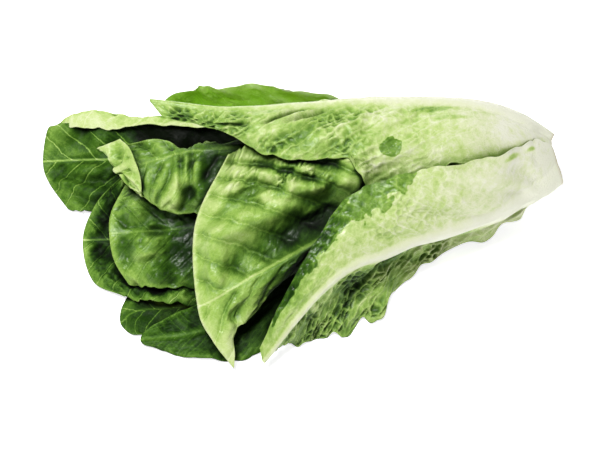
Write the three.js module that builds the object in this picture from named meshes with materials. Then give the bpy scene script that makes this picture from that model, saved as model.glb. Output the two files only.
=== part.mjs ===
// A head of romaine lettuce, lying on its side on a flat surface, as cut.
//
// Every leaf is one closed sheet that is thin at its blade and thick along its rib. The leaves
// clasp a short stem in rings, the oldest outside, and open out towards their tips.
//
// Lengths are millimetres. The head is laid out in three directions: `along` runs from the
// leaf tips (-) to the cut butt (+), `up` runs up the face of the head that shows, and `out`
// runs out of that face. The face leans back, so that both of its ends rest on z = 0.
import * as THREE from "three";

// ---- Driving dimensions ----
const FACE_LEAN = THREE.MathUtils.degToRad(60); // how far the face is turned up from upright
const ORIGIN = { x: 0, y: -16 }; // the layout's point that stands over the middle of the box
const BASE_ROWS = 4; // facets along a leaf while it clasps the stem
const OPEN_ROWS = 18; // and from there to its tip
const RIB_COLUMNS = 2; // facets from the middle of a rib to its edge
const RIB_SHOULDER = 0.8; // how much of its height a rib has lost at its edge
const RIB_TAPER = 1.2; // over 1, a rib thins faster near its base than near its tip
const RIB_SPREAD = 0.5; // the most of a half leaf that a rib takes up
const RIDGE_RAKE = 0.4; // how far a lateral ridge runs towards the tip before the margin
const RIDGE_BULGE = 0.7; // under 1, ridges are highest near the rib
const FULL_RIDGES = 0.15; // how far past its rings a leaf's ridges are fully grown
const FULL_RUFFLE = 0.2; // and its ruffle

// The bodies that leaf bases wrap: [along, up of the axis, out of the axis, radius].
const HEAD_BODY = [
  [149, 39, 20.3, 11.8],
  [141, 39.6, 20.8, 18.6],
  [133, 39.7, 22, 24.6],
  [116, 38.6, 23.5, 33.6],
  [93, 36.6, 26, 41],
  [60, 34.6, 28.4, 42],
];
const HEART_BODY = [
  [108, 37, 27, 7],
  [94, 37, 31, 10.5],
  [78, 37, 38, 11],
  [66, 37, 41.5, 9],
  [56, 37, 44, 6],
  [48, 37, 45.5, 3.5],
];
const CUT_SLOPE = 0.235; // how far the cut across the butt leans from square
const CUT_REACH = 30; // how far up the head the bases still follow that lean
const CUT_CLASP = [0.75, 0.75]; // how wide the halves of a base are at the cut, against past that reach

const ROWS = BASE_ROWS + OPEN_ROWS;
const STEP = 1e-3; // how far apart the points are that a slope is measured between
const lerp = THREE.MathUtils.lerp;

/** The layout's point in the part's own frame. */
function place([along, up, out]) {
  const s = Math.sin(FACE_LEAN);
  const c = Math.cos(FACE_LEAN);
  return new THREE.Vector3(
    along - ORIGIN.x,
    up * s - out * c - ORIGIN.y,
    up * c + out * s,
  );
}

/** A point on the ring round a body's axis that a leaf's base follows. */
function ringPoint(body, along, share, degrees) {
  let k = 0;
  while (k < body.length - 2 && along < body[k + 1][0]) k += 1;
  const f = (body[k][0] - along) / (body[k][0] - body[k + 1][0]);
  const [, up, out, radius] = body[k].map((a, i) => lerp(a, body[k + 1][i], f));
  const angle = THREE.MathUtils.degToRad(degrees);
  const rise = share * radius * Math.sin(angle);
  const lean = THREE.MathUtils.clamp(1 - (HEAD_BODY[0][0] - along) / CUT_REACH, 0, 1);
  return [along - CUT_SLOPE * lean * rise, up + rise, out + share * radius * Math.cos(angle)];
}

/** A uniform Catmull-Rom curve through points, at t from 0 to 1. */
function through(points, t) {
  const n = points.length - 1;
  const k = Math.min(Math.floor(t * n), n - 1);
  const f = t * n - k;
  const at = (i) => {
    if (i < 0) return points[0].map((a, j) => 2 * a - points[1][j]);
    if (i > n) return points[n].map((a, j) => 2 * a - points[n - 1][j]);
    return points[i];
  };
  const [a, b, c, d] = [at(k - 1), at(k), at(k + 1), at(k + 2)];
  return b.map(
    (_, j) =>
      b[j] +
      0.5 * f * (c[j] - a[j] + f * (2 * a[j] - 5 * b[j] + 4 * c[j] - d[j]
        + f * (3 * (b[j] - c[j]) + d[j] - a[j]))),
  );
}

// ---- The leaves ----
// share: the leaf's ring, as a share of the body's radius.
// turns: the angles of its left margin, rib and right margin round the axis, from `out` to `up`.
// clasp: as CUT_CLASP, where a leaf has its own.
// rings: where along the body the leaf follows its ring.
// rows: after that, the points [along, up, out] across the open leaf, from its left margin over
// the rib to its right margin; the last row is the outline of the tip.
// rib: [height at the base, at the tip, half width at the base, at the tip].
// scallops: how deep the notches of the left and right margin are, and their count.
// ruffle: how far the left and right margin wave, and in how many waves.
// ridges: [size, count] of the lateral ridges on both halves.
const LEAVES = [
  {
    name: "leaf_front_top",
    color: 0xa9c96b,
    share: 0.86,
    turns: [-6, 76, 130],
    clasp: [0.45, 0.75],
    rings: [148, 141, 129, 110, 88],
    halfColumns: 6,
    rib: [4.2, 1, 12, 1.5],
    blade: 1.1,
    scallops: [0.05, 0.05, 9],
    ruffle: [2.2, 2.2, 4],
    ridges: [1.2, 6],
    rows: [
      [[46, 17, 64], [46, 49, 63], [46, 71, 42], [46, 70, 22], [46, 60, 8]],
      [[26, 36, 66], [26, 54, 64], [26, 70, 46], [26, 69, 29], [26, 61, 16]],
      [[-14, 37, 65], [-14, 55, 64.5], [-14, 67, 52], [-14, 67, 39], [-14, 61, 28]],
      [[-44, 53, 62], [-45, 60, 63], [-46, 66, 57], [-46, 65, 48], [-46, 61, 40]],
      [[-78, 61, 58], [-82, 66, 57], [-86, 71, 55], [-84, 69, 51], [-78, 65, 46]],
    ],
  },
  {
    name: "leaf_front_low",
    color: 0xb7d37e,
    share: 1,
    turns: [-125, -66, 24],
    clasp: [0.75, 1.12],
    rings: [148, 139],
    halfColumns: 6,
    rib: [3.6, 1.2, 13, 2],
    blade: 1.2,
    scallops: [0.13, 0.03, 11],
    ruffle: [4.5, 1.2, 6],
    ridges: [1.4, 6],
    rows: [
      [[129, 5, 14], [129, 11, 20], [129, 15, 33], [129, 30, 46.2], [129, 46.5, 46.4]],
      [[108, -8, 10], [108, -1, 21], [108, 4, 39], [108, 19, 58], [108, 38.5, 62.5]],
      [[70, -26, 18], [70, -11, 30], [70, -8, 51], [70, 10, 69], [70, 32, 73]],
      [[46, -54, 32], [46, -25, 38], [46, -17, 58], [46, 1, 72], [46, 25.5, 74]],
      [[23, -66, 37], [23, -40, 46], [23, -27, 64], [23, -8, 73], [23, 12.5, 73]],
      [[0, -69, 40], [-1, -60, 51], [-3, -54, 60], [-5, -46, 66], [-7, -36, 68]],
      [[-14, -68, 53], [-18, -74, 55], [-21, -78, 56], [-22, -75, 58], [-23, -70, 60]],
    ],
  },
  {
    name: "leaf_cupped",
    color: 0x7fb04a,
    share: 0.45,
    turns: [110, 215, 290],
    rings: [112, 100, 86],
    halfColumns: 6,
    rib: [0.7, 0.6, 4, 1.5],
    blade: 1,
    scallops: [0.03, 0.03, 9],
    ruffle: [2, 2, 4],
    ridges: [1.5, 5],
    rows: [
      [[58, 46, 30], [58, 30, 27], [58, 16, 32], [58, 10, 38], [58, 8, 48]],
      [[34, 47, 57], [34, 26, 55], [34, 5, 48], [34, 0, 45], [34, -4, 46]],
      [[12, 47, 60], [12, 20, 60], [12, -8, 55], [12, -14, 51], [12, -16, 43]],
      [[-22, 46, 56], [-28, 12, 60], [-30, -31, 60], [-29, -42, 58], [-27, -51, 51]],
      [[-32, 45, 54], [-47, 5, 60], [-48, -42, 60], [-43, -56, 60], [-36, -61, 56]],
      [[-40, 42, 52], [-60, 0, 54], [-58.5, -47, 56], [-49.5, -66.5, 58], [-38, -82, 54]],
    ],
  },
  {
    name: "leaf_folded_tip",
    color: 0x6f9e3f,
    share: 0.52,
    turns: [100, 170, 240],
    rings: [116, 103, 88],
    halfColumns: 5,
    rib: [0.5, 0.6, 4, 1.5],
    blade: 1,
    scallops: [0.03, 0.03, 9],
    ruffle: [1.5, 1.5, 4],
    ridges: [1.2, 6],
    rows: [
      [[50, 52, 29], [50, 48, 20], [50, 38, 16], [50, 28, 16], [50, 20, 22]],
      [[0, 60, 34], [0, 53, 32], [0, 45, 34], [0, 28, 34], [0, 10, 34]],
      [[-46, 47, 32], [-46, 46.5, 38], [-46, 44, 43], [-46, 25, 45], [-46, 5, 40]],
      [[-66, 44, 34], [-66, 43.5, 38], [-66, 41.5, 41.5], [-66, 24, 45], [-66, 6, 39.5]],
      [[-81, 49, 32], [-81, 44, 37], [-81, 38, 40], [-81, 24, 44], [-81, 9, 38]],
      [[-116, 45, 30], [-111, 38, 33], [-107, 31, 36], [-101, 24, 38], [-92, 17, 38]],
      [[-105, 50, 36], [-99, 45, 40], [-95, 37, 44], [-92, 28, 44], [-90.5, 18, 42]],
    ],
  },
  {
    name: "leaf_round",
    color: 0x5f9139,
    share: 0.59,
    turns: [140, 210, 280],
    rings: [120, 106, 90],
    halfColumns: 5,
    rib: [0.7, 0.6, 4, 1.5],
    blade: 1,
    scallops: [0.03, 0.03, 9],
    ruffle: [1.5, 1.5, 4],
    ridges: [1.2, 5],
    rows: [
      [[50, 48, 12], [50, 34, 8], [50, 20, 10], [50, 8, 20], [50, 4, 33]],
      [[0, 38, 20], [0, 20, 18], [0, 4, 22], [0, -12, 26], [0, -22, 34]],
      [[-46, 30, 24], [-46, 16, 24], [-46, 0, 26], [-46, -18, 28], [-46, -36, 31]],
      [[-81, 24, 24], [-81, 10, 27], [-81, -3, 30], [-81, -20, 30], [-81, -37, 31]],
      [[-102, 24, 22], [-110, 8, 26], [-111, -5, 30], [-108, -21, 30], [-99, -36, 28]],
    ],
  },
  {
    name: "leaf_notched",
    color: 0x3f7a30,
    share: 0.66,
    turns: [130, 200, 265],
    rings: [124, 109, 90],
    halfColumns: 5,
    rib: [0.7, 0.6, 4, 1.5],
    blade: 1,
    scallops: [0.04, 0.04, 11],
    ruffle: [1.6, 1.6, 4],
    ridges: [1, 6],
    rows: [
      [[50, 52, 10], [50, 37, 5], [50, 20, 7], [50, 7, 15.5], [50, 1, 25]],
      [[0, 44, 12], [0, 26, 8], [0, 8, 9], [0, -8, 15], [0, -18, 24]],
      [[-50, 34, 14], [-50, 16, 10], [-50, -5, 12], [-50, -26, 20], [-50, -45, 32]],
      [[-95, 30, 14], [-96, 14, 10], [-97, -8, 12], [-95, -28, 20.5], [-88, -45, 33]],
      [[-105, 29, 12], [-120, 13, 10], [-128, -9, 12], [-121, -33, 22], [-102, -42, 29]],
    ],
  },
  {
    name: "leaf_long_back",
    color: 0x41792c,
    share: 0.73,
    turns: [105, 180, 240],
    rings: [128, 111, 90],
    halfColumns: 5,
    rib: [1.2, 0.8, 4, 1.5],
    blade: 1,
    scallops: [0.03, 0.03, 10],
    ruffle: [1.4, 1.4, 4],
    ridges: [1, 6],
    rows: [
      [[50, 59, 24], [50, 55, 4], [50, 34, -2], [50, 17, 2.3], [50, 7, 10]],
      [[0, 57, 18], [0, 52, 0], [0, 35, -5], [0, 16, 0], [0, 4, 8]],
      [[-58, 59, 3], [-58, 62, -3], [-58, 37, -8], [-58, 18, -4], [-58, 4, 4]],
      [[-93, 58.5, -1], [-94, 63.5, -7], [-96, 39, -10], [-95, 22, -6], [-93, 8, 2]],
      [[-120, 57, -6], [-126, 67, -13], [-128, 39, -12], [-126, 22, -7], [-118, 7, 1]],
      [[-143, 58, -11], [-151, 58, -15], [-154, 38, -13], [-150, 25, -11], [-137, 8, -3]],
    ],
  },
  {
    name: "leaf_back_top",
    color: 0x4d8f2c,
    share: 1,
    turns: [112, 138, 172],
    rings: [148, 138, 122, 100, 76],
    halfColumns: 5,
    rib: [2.6, 0.8, 7, 1.5],
    blade: 1.1,
    scallops: [0.04, 0.04, 9],
    ruffle: [1.6, 1.6, 4],
    ridges: [1, 5],
    rows: [
      [[30, 73, 16], [30, 71, 4], [30, 62, -8], [30, 53, -15], [30, 44, -20]],
      [[-14, 81.5, 12], [-14, 75.5, 1], [-14, 65, -9], [-14, 56, -17], [-14, 46, -21]],
      [[-50, 81.5, 10], [-50, 75.5, 0], [-50, 66, -8], [-50, 57, -16], [-50, 48, -21]],
      [[-66, 80, 10], [-76, 77, 4], [-82, 70.5, -3], [-78, 60, -11], [-68, 50, -19]],
    ],
  },
  {
    name: "leaf_near_side",
    color: 0x35662a,
    share: 0.82,
    turns: [-112, -86, -55],
    rings: [134, 118, 98, 76],
    halfColumns: 5,
    rib: [2, 0.6, 5, 1.5],
    blade: 1,
    scallops: [0.04, 0.04, 9],
    ruffle: [1.2, 1.2, 4],
    ridges: [0.8, 5],
    rows: [
      [[40, -16, 12], [40, -14, 20], [40, -10, 27], [40, -6, 34], [40, -3, 40]],
      [[0, -52, 33], [0, -42, 30], [0, -34, 30], [0, -28, 34], [0, -22, 40]],
      [[-26, -76, 46], [-26, -62, 41], [-26, -50, 37], [-26, -40, 37], [-26, -31, 40]],
      [[-60, -77, 47], [-60, -70, 44], [-60, -62, 42], [-60, -54, 40], [-60, -45, 37]],
      [[-84, -71, 44], [-90, -69, 43], [-92, -66, 43], [-90, -62, 44], [-84, -57, 43]],
    ],
  },
  {
    name: "leaf_near_tip",
    color: 0x4a8433,
    share: 0.83,
    turns: [192, 214, 232],
    rings: [132, 117, 98, 76],
    halfColumns: 5,
    rib: [0.6, 0.6, 4, 1.5],
    blade: 1,
    scallops: [0.05, 0.05, 9],
    ruffle: [1.2, 1.2, 4],
    ridges: [0.5, 5],
    rows: [
      [[40, 9, 2], [40, 2, 5], [40, -4, 9], [40, -9, 13], [40, -12, 19]],
      [[0, -5, 7], [0, -10, 9], [0, -14, 11.5], [0, -19, 14.5], [0, -24, 18]],
      [[-60, -33, 20], [-60, -39, 23.2], [-60, -45, 26.7], [-60, -51, 30], [-60, -57, 33.5]],
      [[-90, -34, 21], [-92, -42, 25], [-94, -50, 30], [-90, -58, 35], [-84, -62, 37]],
      [[-100, -40, 25], [-104, -49, 30], [-104, -57, 35], [-98, -63, 38], [-91, -64, 39]],
    ],
  },
  {
    name: "leaf_underneath",
    color: 0x5b8f3a,
    share: 0.94,
    turns: [165, 205, 236],
    rings: [148, 139, 124, 98, 70],
    halfColumns: 5,
    rib: [2.6, 1, 7, 1.5],
    blade: 1.1,
    scallops: [0.04, 0.04, 9],
    ruffle: [0.6, 0.6, 4],
    ridges: [0.3, 5],
    rows: [
      [[30, 38, -17], [30, 28, -13.6], [30, 14, -7], [30, 8, -3.2], [30, 3, -0.5]],
      [[-20, 36, -16], [-20, 26, -12.7], [-20, 12, -5.8], [-20, 6, -1.8], [-20, 1, 1.5]],
      [[-60, 34, -16], [-60, 24, -12], [-60, 12, -5.5], [-60, 6, -1.5], [-60, 1, 1.5]],
      [[-80, 30, -14], [-90, 22, -11], [-94, 13, -6], [-90, 7, -2], [-80, 2, 1]],
    ],
  },
  {
    name: "heart_leaf_outer",
    color: 0xc8da78,
    body: HEART_BODY,
    share: 1,
    turns: [-150, -40, 70],
    rings: [106, 96, 85, 74, 64, 56, 49],
    halfColumns: 5,
    rib: [1, 0.5, 3, 1],
    blade: 0.9,
    scallops: [0.04, 0.04, 6],
    ruffle: [0.5, 0.5, 3],
    ridges: [0, 4],
    rows: [],
  },
  {
    name: "heart_leaf_middle",
    color: 0xd2df86,
    body: HEART_BODY,
    share: 0.72,
    turns: [25, 130, 235],
    rings: [106, 96, 86, 76, 67, 60, 54],
    halfColumns: 4,
    rib: [0.4, 0.3, 3, 1],
    blade: 0.9,
    scallops: [0.04, 0.04, 6],
    ruffle: [0.5, 0.5, 3],
    ridges: [0, 4],
    rows: [],
  },
  {
    name: "heart_leaf_inner",
    color: 0xdbe494,
    body: HEART_BODY,
    share: 0.45,
    turns: [-130, -20, 90],
    rings: [106, 97, 88, 79, 71, 65, 60],
    halfColumns: 4,
    rib: [0.4, 0.3, 2.5, 1],
    blade: 0.9,
    scallops: [0.04, 0.04, 6],
    ruffle: [0.3, 0.3, 3],
    ridges: [0, 4],
    rows: [],
  },
];

/** Points across a ring row, from the left margin over the rib to the right margin. */
function ringRow(leaf, along) {
  const rib = leaf.turns[1];
  const grows = THREE.MathUtils.smoothstep(HEAD_BODY[0][0] - along, 0, CUT_REACH);
  const clasp = leaf.clasp ?? CUT_CLASP;
  const [left, right] = [leaf.turns[0], leaf.turns[2]]
    .map((margin, side) => rib + (margin - rib) * lerp(clasp[side], 1, grows));
  const turns = [left, (left + rib) / 2, rib, (rib + right) / 2, right];
  const body = leaf.body ?? HEAD_BODY;
  return turns.map((degrees) => ringPoint(body, along, leaf.share, degrees));
}

/** The leaf's middle surface as a function of t (base to tip) and u (-1 to 1, margin to margin). */
function surfaceOf(leaf) {
  const net = [...leaf.rings.map((along) => ringRow(leaf, along)), ...leaf.rows];
  const columns = net[0].map((_, k) => net.map((row) => row[k]));
  return (t, u) => place(through(columns.map((column) => through(column, t)), (u + 1) / 2));
}

/** Where along a leaf, from 0 at its base to 1 at its tip, it leaves its rings. */
function opening(leaf) {
  return leaf.rows.length ? (leaf.rings.length - 1) / (leaf.rings.length + leaf.rows.length - 1) : 0;
}

/** Where facet row i lies along a leaf: a few rows on its rings, most of them on its open part. */
function rowPlace(leaf, i) {
  if (leaf.rows.length === 0) return i / ROWS;
  const opens = opening(leaf);
  return i < BASE_ROWS
    ? (opens * i) / BASE_ROWS
    : lerp(opens, 1, (i - BASE_ROWS) / OPEN_ROWS);
}

/** Where a leaf's waves start, so that no two margins wave alike. */
function phaseOf(index, u) {
  return index * 1.7 + (u > 0 ? 2.1 : 0);
}

/** u moved in from a scalloped margin at t. */
function scalloped(leaf, index, t, u) {
  const [left, right, count] = leaf.scallops;
  const depth = u < 0 ? left : right;
  const wave = 0.5 + 0.5 * Math.sin(2 * Math.PI * count * t + phaseOf(index, u));
  return u * (1 - depth * wave * Math.abs(u) ** 3);
}

/** How far out of its middle surface a ruffled margin stands at t and u. */
function ruffleAt(leaf, index, t, u) {
  const [left, right, waves] = leaf.ruffle;
  const size = u < 0 ? left : right;
  const opens = opening(leaf);
  const grows = THREE.MathUtils.smoothstep(t, opens, opens + FULL_RUFFLE);
  const run = (t - opens) / (1 - opens);
  const wave = Math.sin(2 * Math.PI * waves * run + phaseOf(index, u));
  return size * grows * Math.abs(u) ** 3 * wave;
}

/** How far a leaf's lateral ridges lift its middle surface at t and u. */
function ridgeAt(leaf, index, t, u) {
  const [size, count] = leaf.ridges;
  const opens = opening(leaf);
  const grows = THREE.MathUtils.smoothstep(t, opens, opens + FULL_RIDGES) * (1 - t * t);
  const fade = Math.sin(Math.PI * Math.abs(u) ** RIDGE_BULGE);
  const run = (t - opens) / (1 - opens) - RIDGE_RAKE * Math.abs(u);
  return size * grows * fade * Math.sin(2 * Math.PI * count * run + index);
}

/** Where the columns of one half lie, as shares of the half's width: close together at the rib. */
function columnShares(ribShare, halfColumns) {
  const shares = [];
  for (let k = 1; k <= halfColumns; k += 1) {
    shares.push(
      k <= RIB_COLUMNS
        ? (ribShare * k) / RIB_COLUMNS
        : lerp(ribShare, 1, (k - RIB_COLUMNS) / (halfColumns - RIB_COLUMNS)),
    );
  }
  return shares;
}

/** u of each column of row t, from the left margin over the rib to the right margin. */
function columnPlaces(leaf, surface, t, ribWidth) {
  const half = (side) => {
    const width = surface(t, side / 2).distanceTo(surface(t, 0)) * 2;
    return columnShares(Math.min(ribWidth / width, RIB_SPREAD), leaf.halfColumns);
  };
  return [...half(-1).map((share) => -share).reverse(), 0, ...half(1)];
}

/** The triangles of a closed sheet: its inner and outer face, and the rim between them. */
function sheetFaces(rows, columns) {
  const faces = [];
  const shift = (rows + 1) * columns;
  const quad = (a, b, c, d) => faces.push(a, b, c, a, c, d);
  for (let i = 0; i < rows; i += 1) {
    const left = i * columns;
    const right = left + columns - 1;
    for (let a = left; a < right; a += 1) {
      quad(shift + a, shift + a + 1, shift + a + 1 + columns, shift + a + columns);
      faces.push(a, a + 1 + columns, a + 1, a, a + columns, a + 1 + columns);
    }
    quad(left, shift + left, shift + left + columns, left + columns);
    quad(right, right + columns, shift + right + columns, shift + right);
  }
  for (let base = 0; base < columns - 1; base += 1) {
    const tip = rows * columns + base;
    quad(base, base + 1, shift + base + 1, shift + base);
    quad(tip, shift + tip, shift + tip + 1, tip + 1);
  }
  return faces;
}

/** One leaf as a closed mesh. What would reach under the surface it lies on is laid flat on it. */
function leafGeometry(leaf, index) {
  const surface = surfaceOf(leaf);
  const [ribBase, ribTip, widthBase, widthTip] = leaf.rib;
  const inner = [];
  const outer = [];
  for (let i = 0; i <= ROWS; i += 1) {
    const t = rowPlace(leaf, i);
    const fade = (1 - t) ** RIB_TAPER;
    const ribHeight = lerp(ribTip, ribBase, fade);
    columnPlaces(leaf, surface, t, lerp(widthTip, widthBase, fade)).forEach((column, k) => {
      const u = scalloped(leaf, index, t, column);
      const across = surface(t, Math.min(u + STEP, 1)).sub(surface(t, Math.max(u - STEP, -1)));
      const along = surface(Math.min(t + STEP, 1), u).sub(surface(Math.max(t - STEP, 0), u));
      const normal = across.cross(along).normalize();
      const lift = ruffleAt(leaf, index, t, u) + ridgeAt(leaf, index, t, u);
      const middle = surface(t, u).addScaledVector(normal, lift);
      const fromRib = Math.abs(k - leaf.halfColumns) / RIB_COLUMNS;
      const bulge = fromRib < 1 ? ribHeight * (1 - RIB_SHOULDER * fromRib ** 2) : 0;
      const inside = middle.clone().addScaledVector(normal, -leaf.blade / 2);
      const outside = middle.clone().addScaledVector(normal, leaf.blade / 2 + bulge);
      inside.z = Math.max(inside.z, leaf.blade);
      outside.z = Math.max(outside.z, 0);
      inner.push(inside);
      outer.push(outside);
    });
  }
  return closedGeometry([...inner, ...outer], sheetFaces(ROWS, 2 * leaf.halfColumns + 1));
}

// ---- The stem ----
// [along, share of the body's radius]: a short cone, cut flat at the butt, under the leaf bases.
const STEM = [
  [148.5, 0.72],
  [143, 0.7],
  [136, 0.66],
  [129, 0.58],
  [123, 0.46],
  [117, 0.32],
  [113, 0.12],
];
const STEM_SIDES = 20;
const STEM_COLOR = 0xe6e4c0;

/** The stem as a closed loft through its rings, with flat ends. */
function stemGeometry() {
  const points = STEM.flatMap(([along, share]) => Array.from(
    { length: STEM_SIDES },
    (_, k) => place(ringPoint(HEAD_BODY, along, share, (360 * k) / STEM_SIDES)),
  ));
  const faces = [];
  for (let i = 0; i < STEM.length - 1; i += 1) {
    for (let k = 0; k < STEM_SIDES; k += 1) {
      const next = (k + 1) % STEM_SIDES;
      const a = i * STEM_SIDES + k;
      const b = i * STEM_SIDES + next;
      faces.push(a, b, b + STEM_SIDES, a, b + STEM_SIDES, a + STEM_SIDES);
    }
  }
  const last = (STEM.length - 1) * STEM_SIDES;
  for (let k = 1; k < STEM_SIDES - 1; k += 1) {
    faces.push(0, k + 1, k);
    faces.push(last, last + k, last + k + 1);
  }
  return closedGeometry(points, faces);
}

/** A geometry from points and triangles. */
function closedGeometry(points, faces) {
  const geometry = new THREE.BufferGeometry();
  const numbers = points.flatMap((p) => [p.x, p.y, p.z]);
  geometry.setAttribute("position", new THREE.Float32BufferAttribute(numbers, 3));
  geometry.setIndex(faces);
  geometry.computeVertexNormals();
  return geometry;
}

/** A named mesh in its own colour. */
function meshOf(name, geometry, color, roughness) {
  const material = new THREE.MeshStandardMaterial({ color, roughness, metalness: 0 });
  const mesh = new THREE.Mesh(geometry, material);
  mesh.name = name;
  return mesh;
}

const head = new THREE.Group();
head.add(meshOf("stem", stemGeometry(), STEM_COLOR, 0.6));
LEAVES.forEach((leaf, index) => {
  head.add(meshOf(leaf.name, leafGeometry(leaf, index), leaf.color, 0.45));
});

export default head;
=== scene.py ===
import math

import bpy
import numpy as np
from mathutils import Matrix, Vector


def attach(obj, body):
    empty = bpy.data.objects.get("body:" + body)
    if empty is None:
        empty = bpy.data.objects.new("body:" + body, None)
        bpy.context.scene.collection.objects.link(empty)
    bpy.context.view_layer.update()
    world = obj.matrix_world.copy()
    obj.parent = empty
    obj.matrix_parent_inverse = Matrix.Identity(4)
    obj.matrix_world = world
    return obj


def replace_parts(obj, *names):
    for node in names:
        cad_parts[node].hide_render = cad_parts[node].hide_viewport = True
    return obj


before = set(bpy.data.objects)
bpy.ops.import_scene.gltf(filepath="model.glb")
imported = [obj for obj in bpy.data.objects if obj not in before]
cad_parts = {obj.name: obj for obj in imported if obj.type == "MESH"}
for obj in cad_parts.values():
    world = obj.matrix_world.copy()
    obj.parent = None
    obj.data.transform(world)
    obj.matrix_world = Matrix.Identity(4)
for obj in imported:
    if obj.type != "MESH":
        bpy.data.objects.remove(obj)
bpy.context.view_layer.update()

# ---- The cut stem -------------------------------------------------------------------------
# The short stump that every leaf grows from: crisp white pith under a thin pale skin, sliced
# across with one knife cut that has dried to tan along its rim. The leaf bases grow on it.
MILLIMETRE = 0.001
FACE_LEAN = math.radians(60)  # how far the face of the head is turned up from upright
LAYOUT_ORIGIN = (0.0, -16.0)  # the layout's point that stands over the middle of the box
HEAD_BODY = np.array([  # along, up and out of the axis, radius
    [149, 39, 20.3, 11.8],
    [141, 39.6, 20.8, 18.6],
    [133, 39.7, 22, 24.6],
    [116, 38.6, 23.5, 33.6],
    [93, 36.6, 26, 41],
    [60, 34.6, 28.4, 42],
], float)
CUT_SLOPE = 0.235  # how far the knife cut leans from square
CUT_REACH = 30.0  # how far up the head the bases still follow that lean
STEM_RINGS = [[148.5, 0.72], [148.2, 0.735], [143, 0.7], [136, 0.66], [129, 0.58], [123, 0.46],
              [117, 0.32], [113, 0.12]]  # along, share of the body's radius
STEM_SIDES = 96


def smooth(x, low, high):
    """0 below low and 1 above high, with an even rise between them."""
    f = np.clip((x - low) / (high - low), 0, 1)
    return f * f * (3 - 2 * f)


def place(layout):
    """Points of the layout (along, up, out) in the frame of the solids, still in millimetres."""
    along, up, out = np.moveaxis(np.asarray(layout, float), -1, 0)
    s, c = math.sin(FACE_LEAN), math.cos(FACE_LEAN)
    x = along - LAYOUT_ORIGIN[0]
    return np.stack([x, up * s - out * c - LAYOUT_ORIGIN[1], up * c + out * s], -1)


def ring_point(body, along, share, degrees):
    """A point on the ring round a body's axis that a leaf's base follows."""
    k = 0
    while k < len(body) - 2 and along < body[k + 1][0]:
        k += 1
    f = (body[k][0] - along) / (body[k][0] - body[k + 1][0])
    _, up, out, radius = body[k] + (body[k + 1] - body[k]) * f
    angle = math.radians(degrees)
    rise = share * radius * math.sin(angle)
    lean = min(max(1 - (HEAD_BODY[0][0] - along) / CUT_REACH, 0), 1)
    return [along - CUT_SLOPE * lean * rise, up + rise, out + share * radius * math.cos(angle)]


def piece_of(name, points, faces, node):
    """A smooth-shaded piece from points in millimetres that stands for one of the solids."""
    mesh = bpy.data.meshes.new(name)
    mesh.from_pydata((np.asarray(points) * MILLIMETRE).tolist(), [], faces)
    mesh.polygons.foreach_set("use_smooth", np.ones(len(mesh.polygons), bool))
    piece = bpy.data.objects.new(name, mesh)
    bpy.context.scene.collection.objects.link(piece)
    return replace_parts(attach(piece, "root"), node)


def colour(code):
    """A linear colour from an sRGB hex code."""
    parts = [int(code[i:i + 2], 16) / 255 for i in (1, 3, 5)]
    lit = [p / 12.92 if p <= 0.04045 else ((p + 0.055) / 1.055) ** 2.4 for p in parts]
    return (*lit, 1.0)


def scale_of(size):
    """The scale of a pattern whose cells are this many millimetres wide."""
    return 1 / (size * MILLIMETRE)


def add(tree, kind, inputs=None, **settings):
    """Adds a node with its settings. An input is a value, or the socket or node to link to it."""
    node = tree.nodes.new(kind)
    for name, value in settings.items():
        setattr(node, name, value)
    for socket, value in (inputs or {}).items():
        if isinstance(value, bpy.types.Node):
            value = value.outputs[0]
        if isinstance(value, bpy.types.NodeSocket):
            tree.links.new(value, node.inputs[socket])
        else:
            node.inputs[socket].default_value = value
    return node


PITH_GRAIN = 4.5455  # the watery grain of the pith
TAN_BLOT = 16.6667  # the blots where it has dried
BUMP_DEPTH = 0.0004  # metres, for the pith and for the skin of the leaves alike
TISSUE_IOR = 1.4  # water held in cells


def stem_material():
    """Cut stem: moist pith, which looks nearly white and softly wet, with tan where it dried."""
    material = bpy.data.materials.new("moist_cut_stem")
    material.use_nodes = True
    tree = material.node_tree
    tree.nodes.clear()
    spot = add(tree, "ShaderNodeTexCoord").outputs["Object"]
    grain = add(tree, "ShaderNodeTexNoise", {"Vector": spot, "Scale": scale_of(PITH_GRAIN),
                                              "Detail": 4.0})
    blots = add(tree, "ShaderNodeTexNoise", {"Vector": spot, "Scale": scale_of(TAN_BLOT),
                                              "Detail": 3.0})
    tan = add(tree, "ShaderNodeMapRange", {"Value": blots, 1: 0.5, 2: 0.72})
    tint = add(tree, "ShaderNodeMix", {0: tan, 6: colour("#f0efd6"), 7: colour("#c79f63")},
               data_type="RGBA")
    bump = add(tree, "ShaderNodeBump", {"Strength": 0.5, "Distance": BUMP_DEPTH,
                                        "Height": grain})
    skin = add(tree, "ShaderNodeBsdfPrincipled", {
        "Base Color": tint.outputs[2], "Roughness": 0.5, "IOR": TISSUE_IOR, "Normal": bump})
    add(tree, "ShaderNodeOutputMaterial", {"Surface": skin})
    return material


stem_points = [
    place(ring_point(HEAD_BODY, along, share, 360 * k / STEM_SIDES))
    for along, share in STEM_RINGS for k in range(STEM_SIDES)
]
stem_faces = [
    [i * STEM_SIDES + k, i * STEM_SIDES + (k + 1) % STEM_SIDES,
     (i + 1) * STEM_SIDES + (k + 1) % STEM_SIDES, (i + 1) * STEM_SIDES + k]
    for i in range(len(STEM_RINGS) - 1) for k in range(STEM_SIDES)
]
stem_faces.append(list(range(STEM_SIDES))[::-1])
stem_faces.append([(len(STEM_RINGS) - 1) * STEM_SIDES + k for k in range(STEM_SIDES)])
stem = piece_of("cut_stem", stem_points, stem_faces, "stem")
stem.data.materials.append(stem_material())

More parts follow.
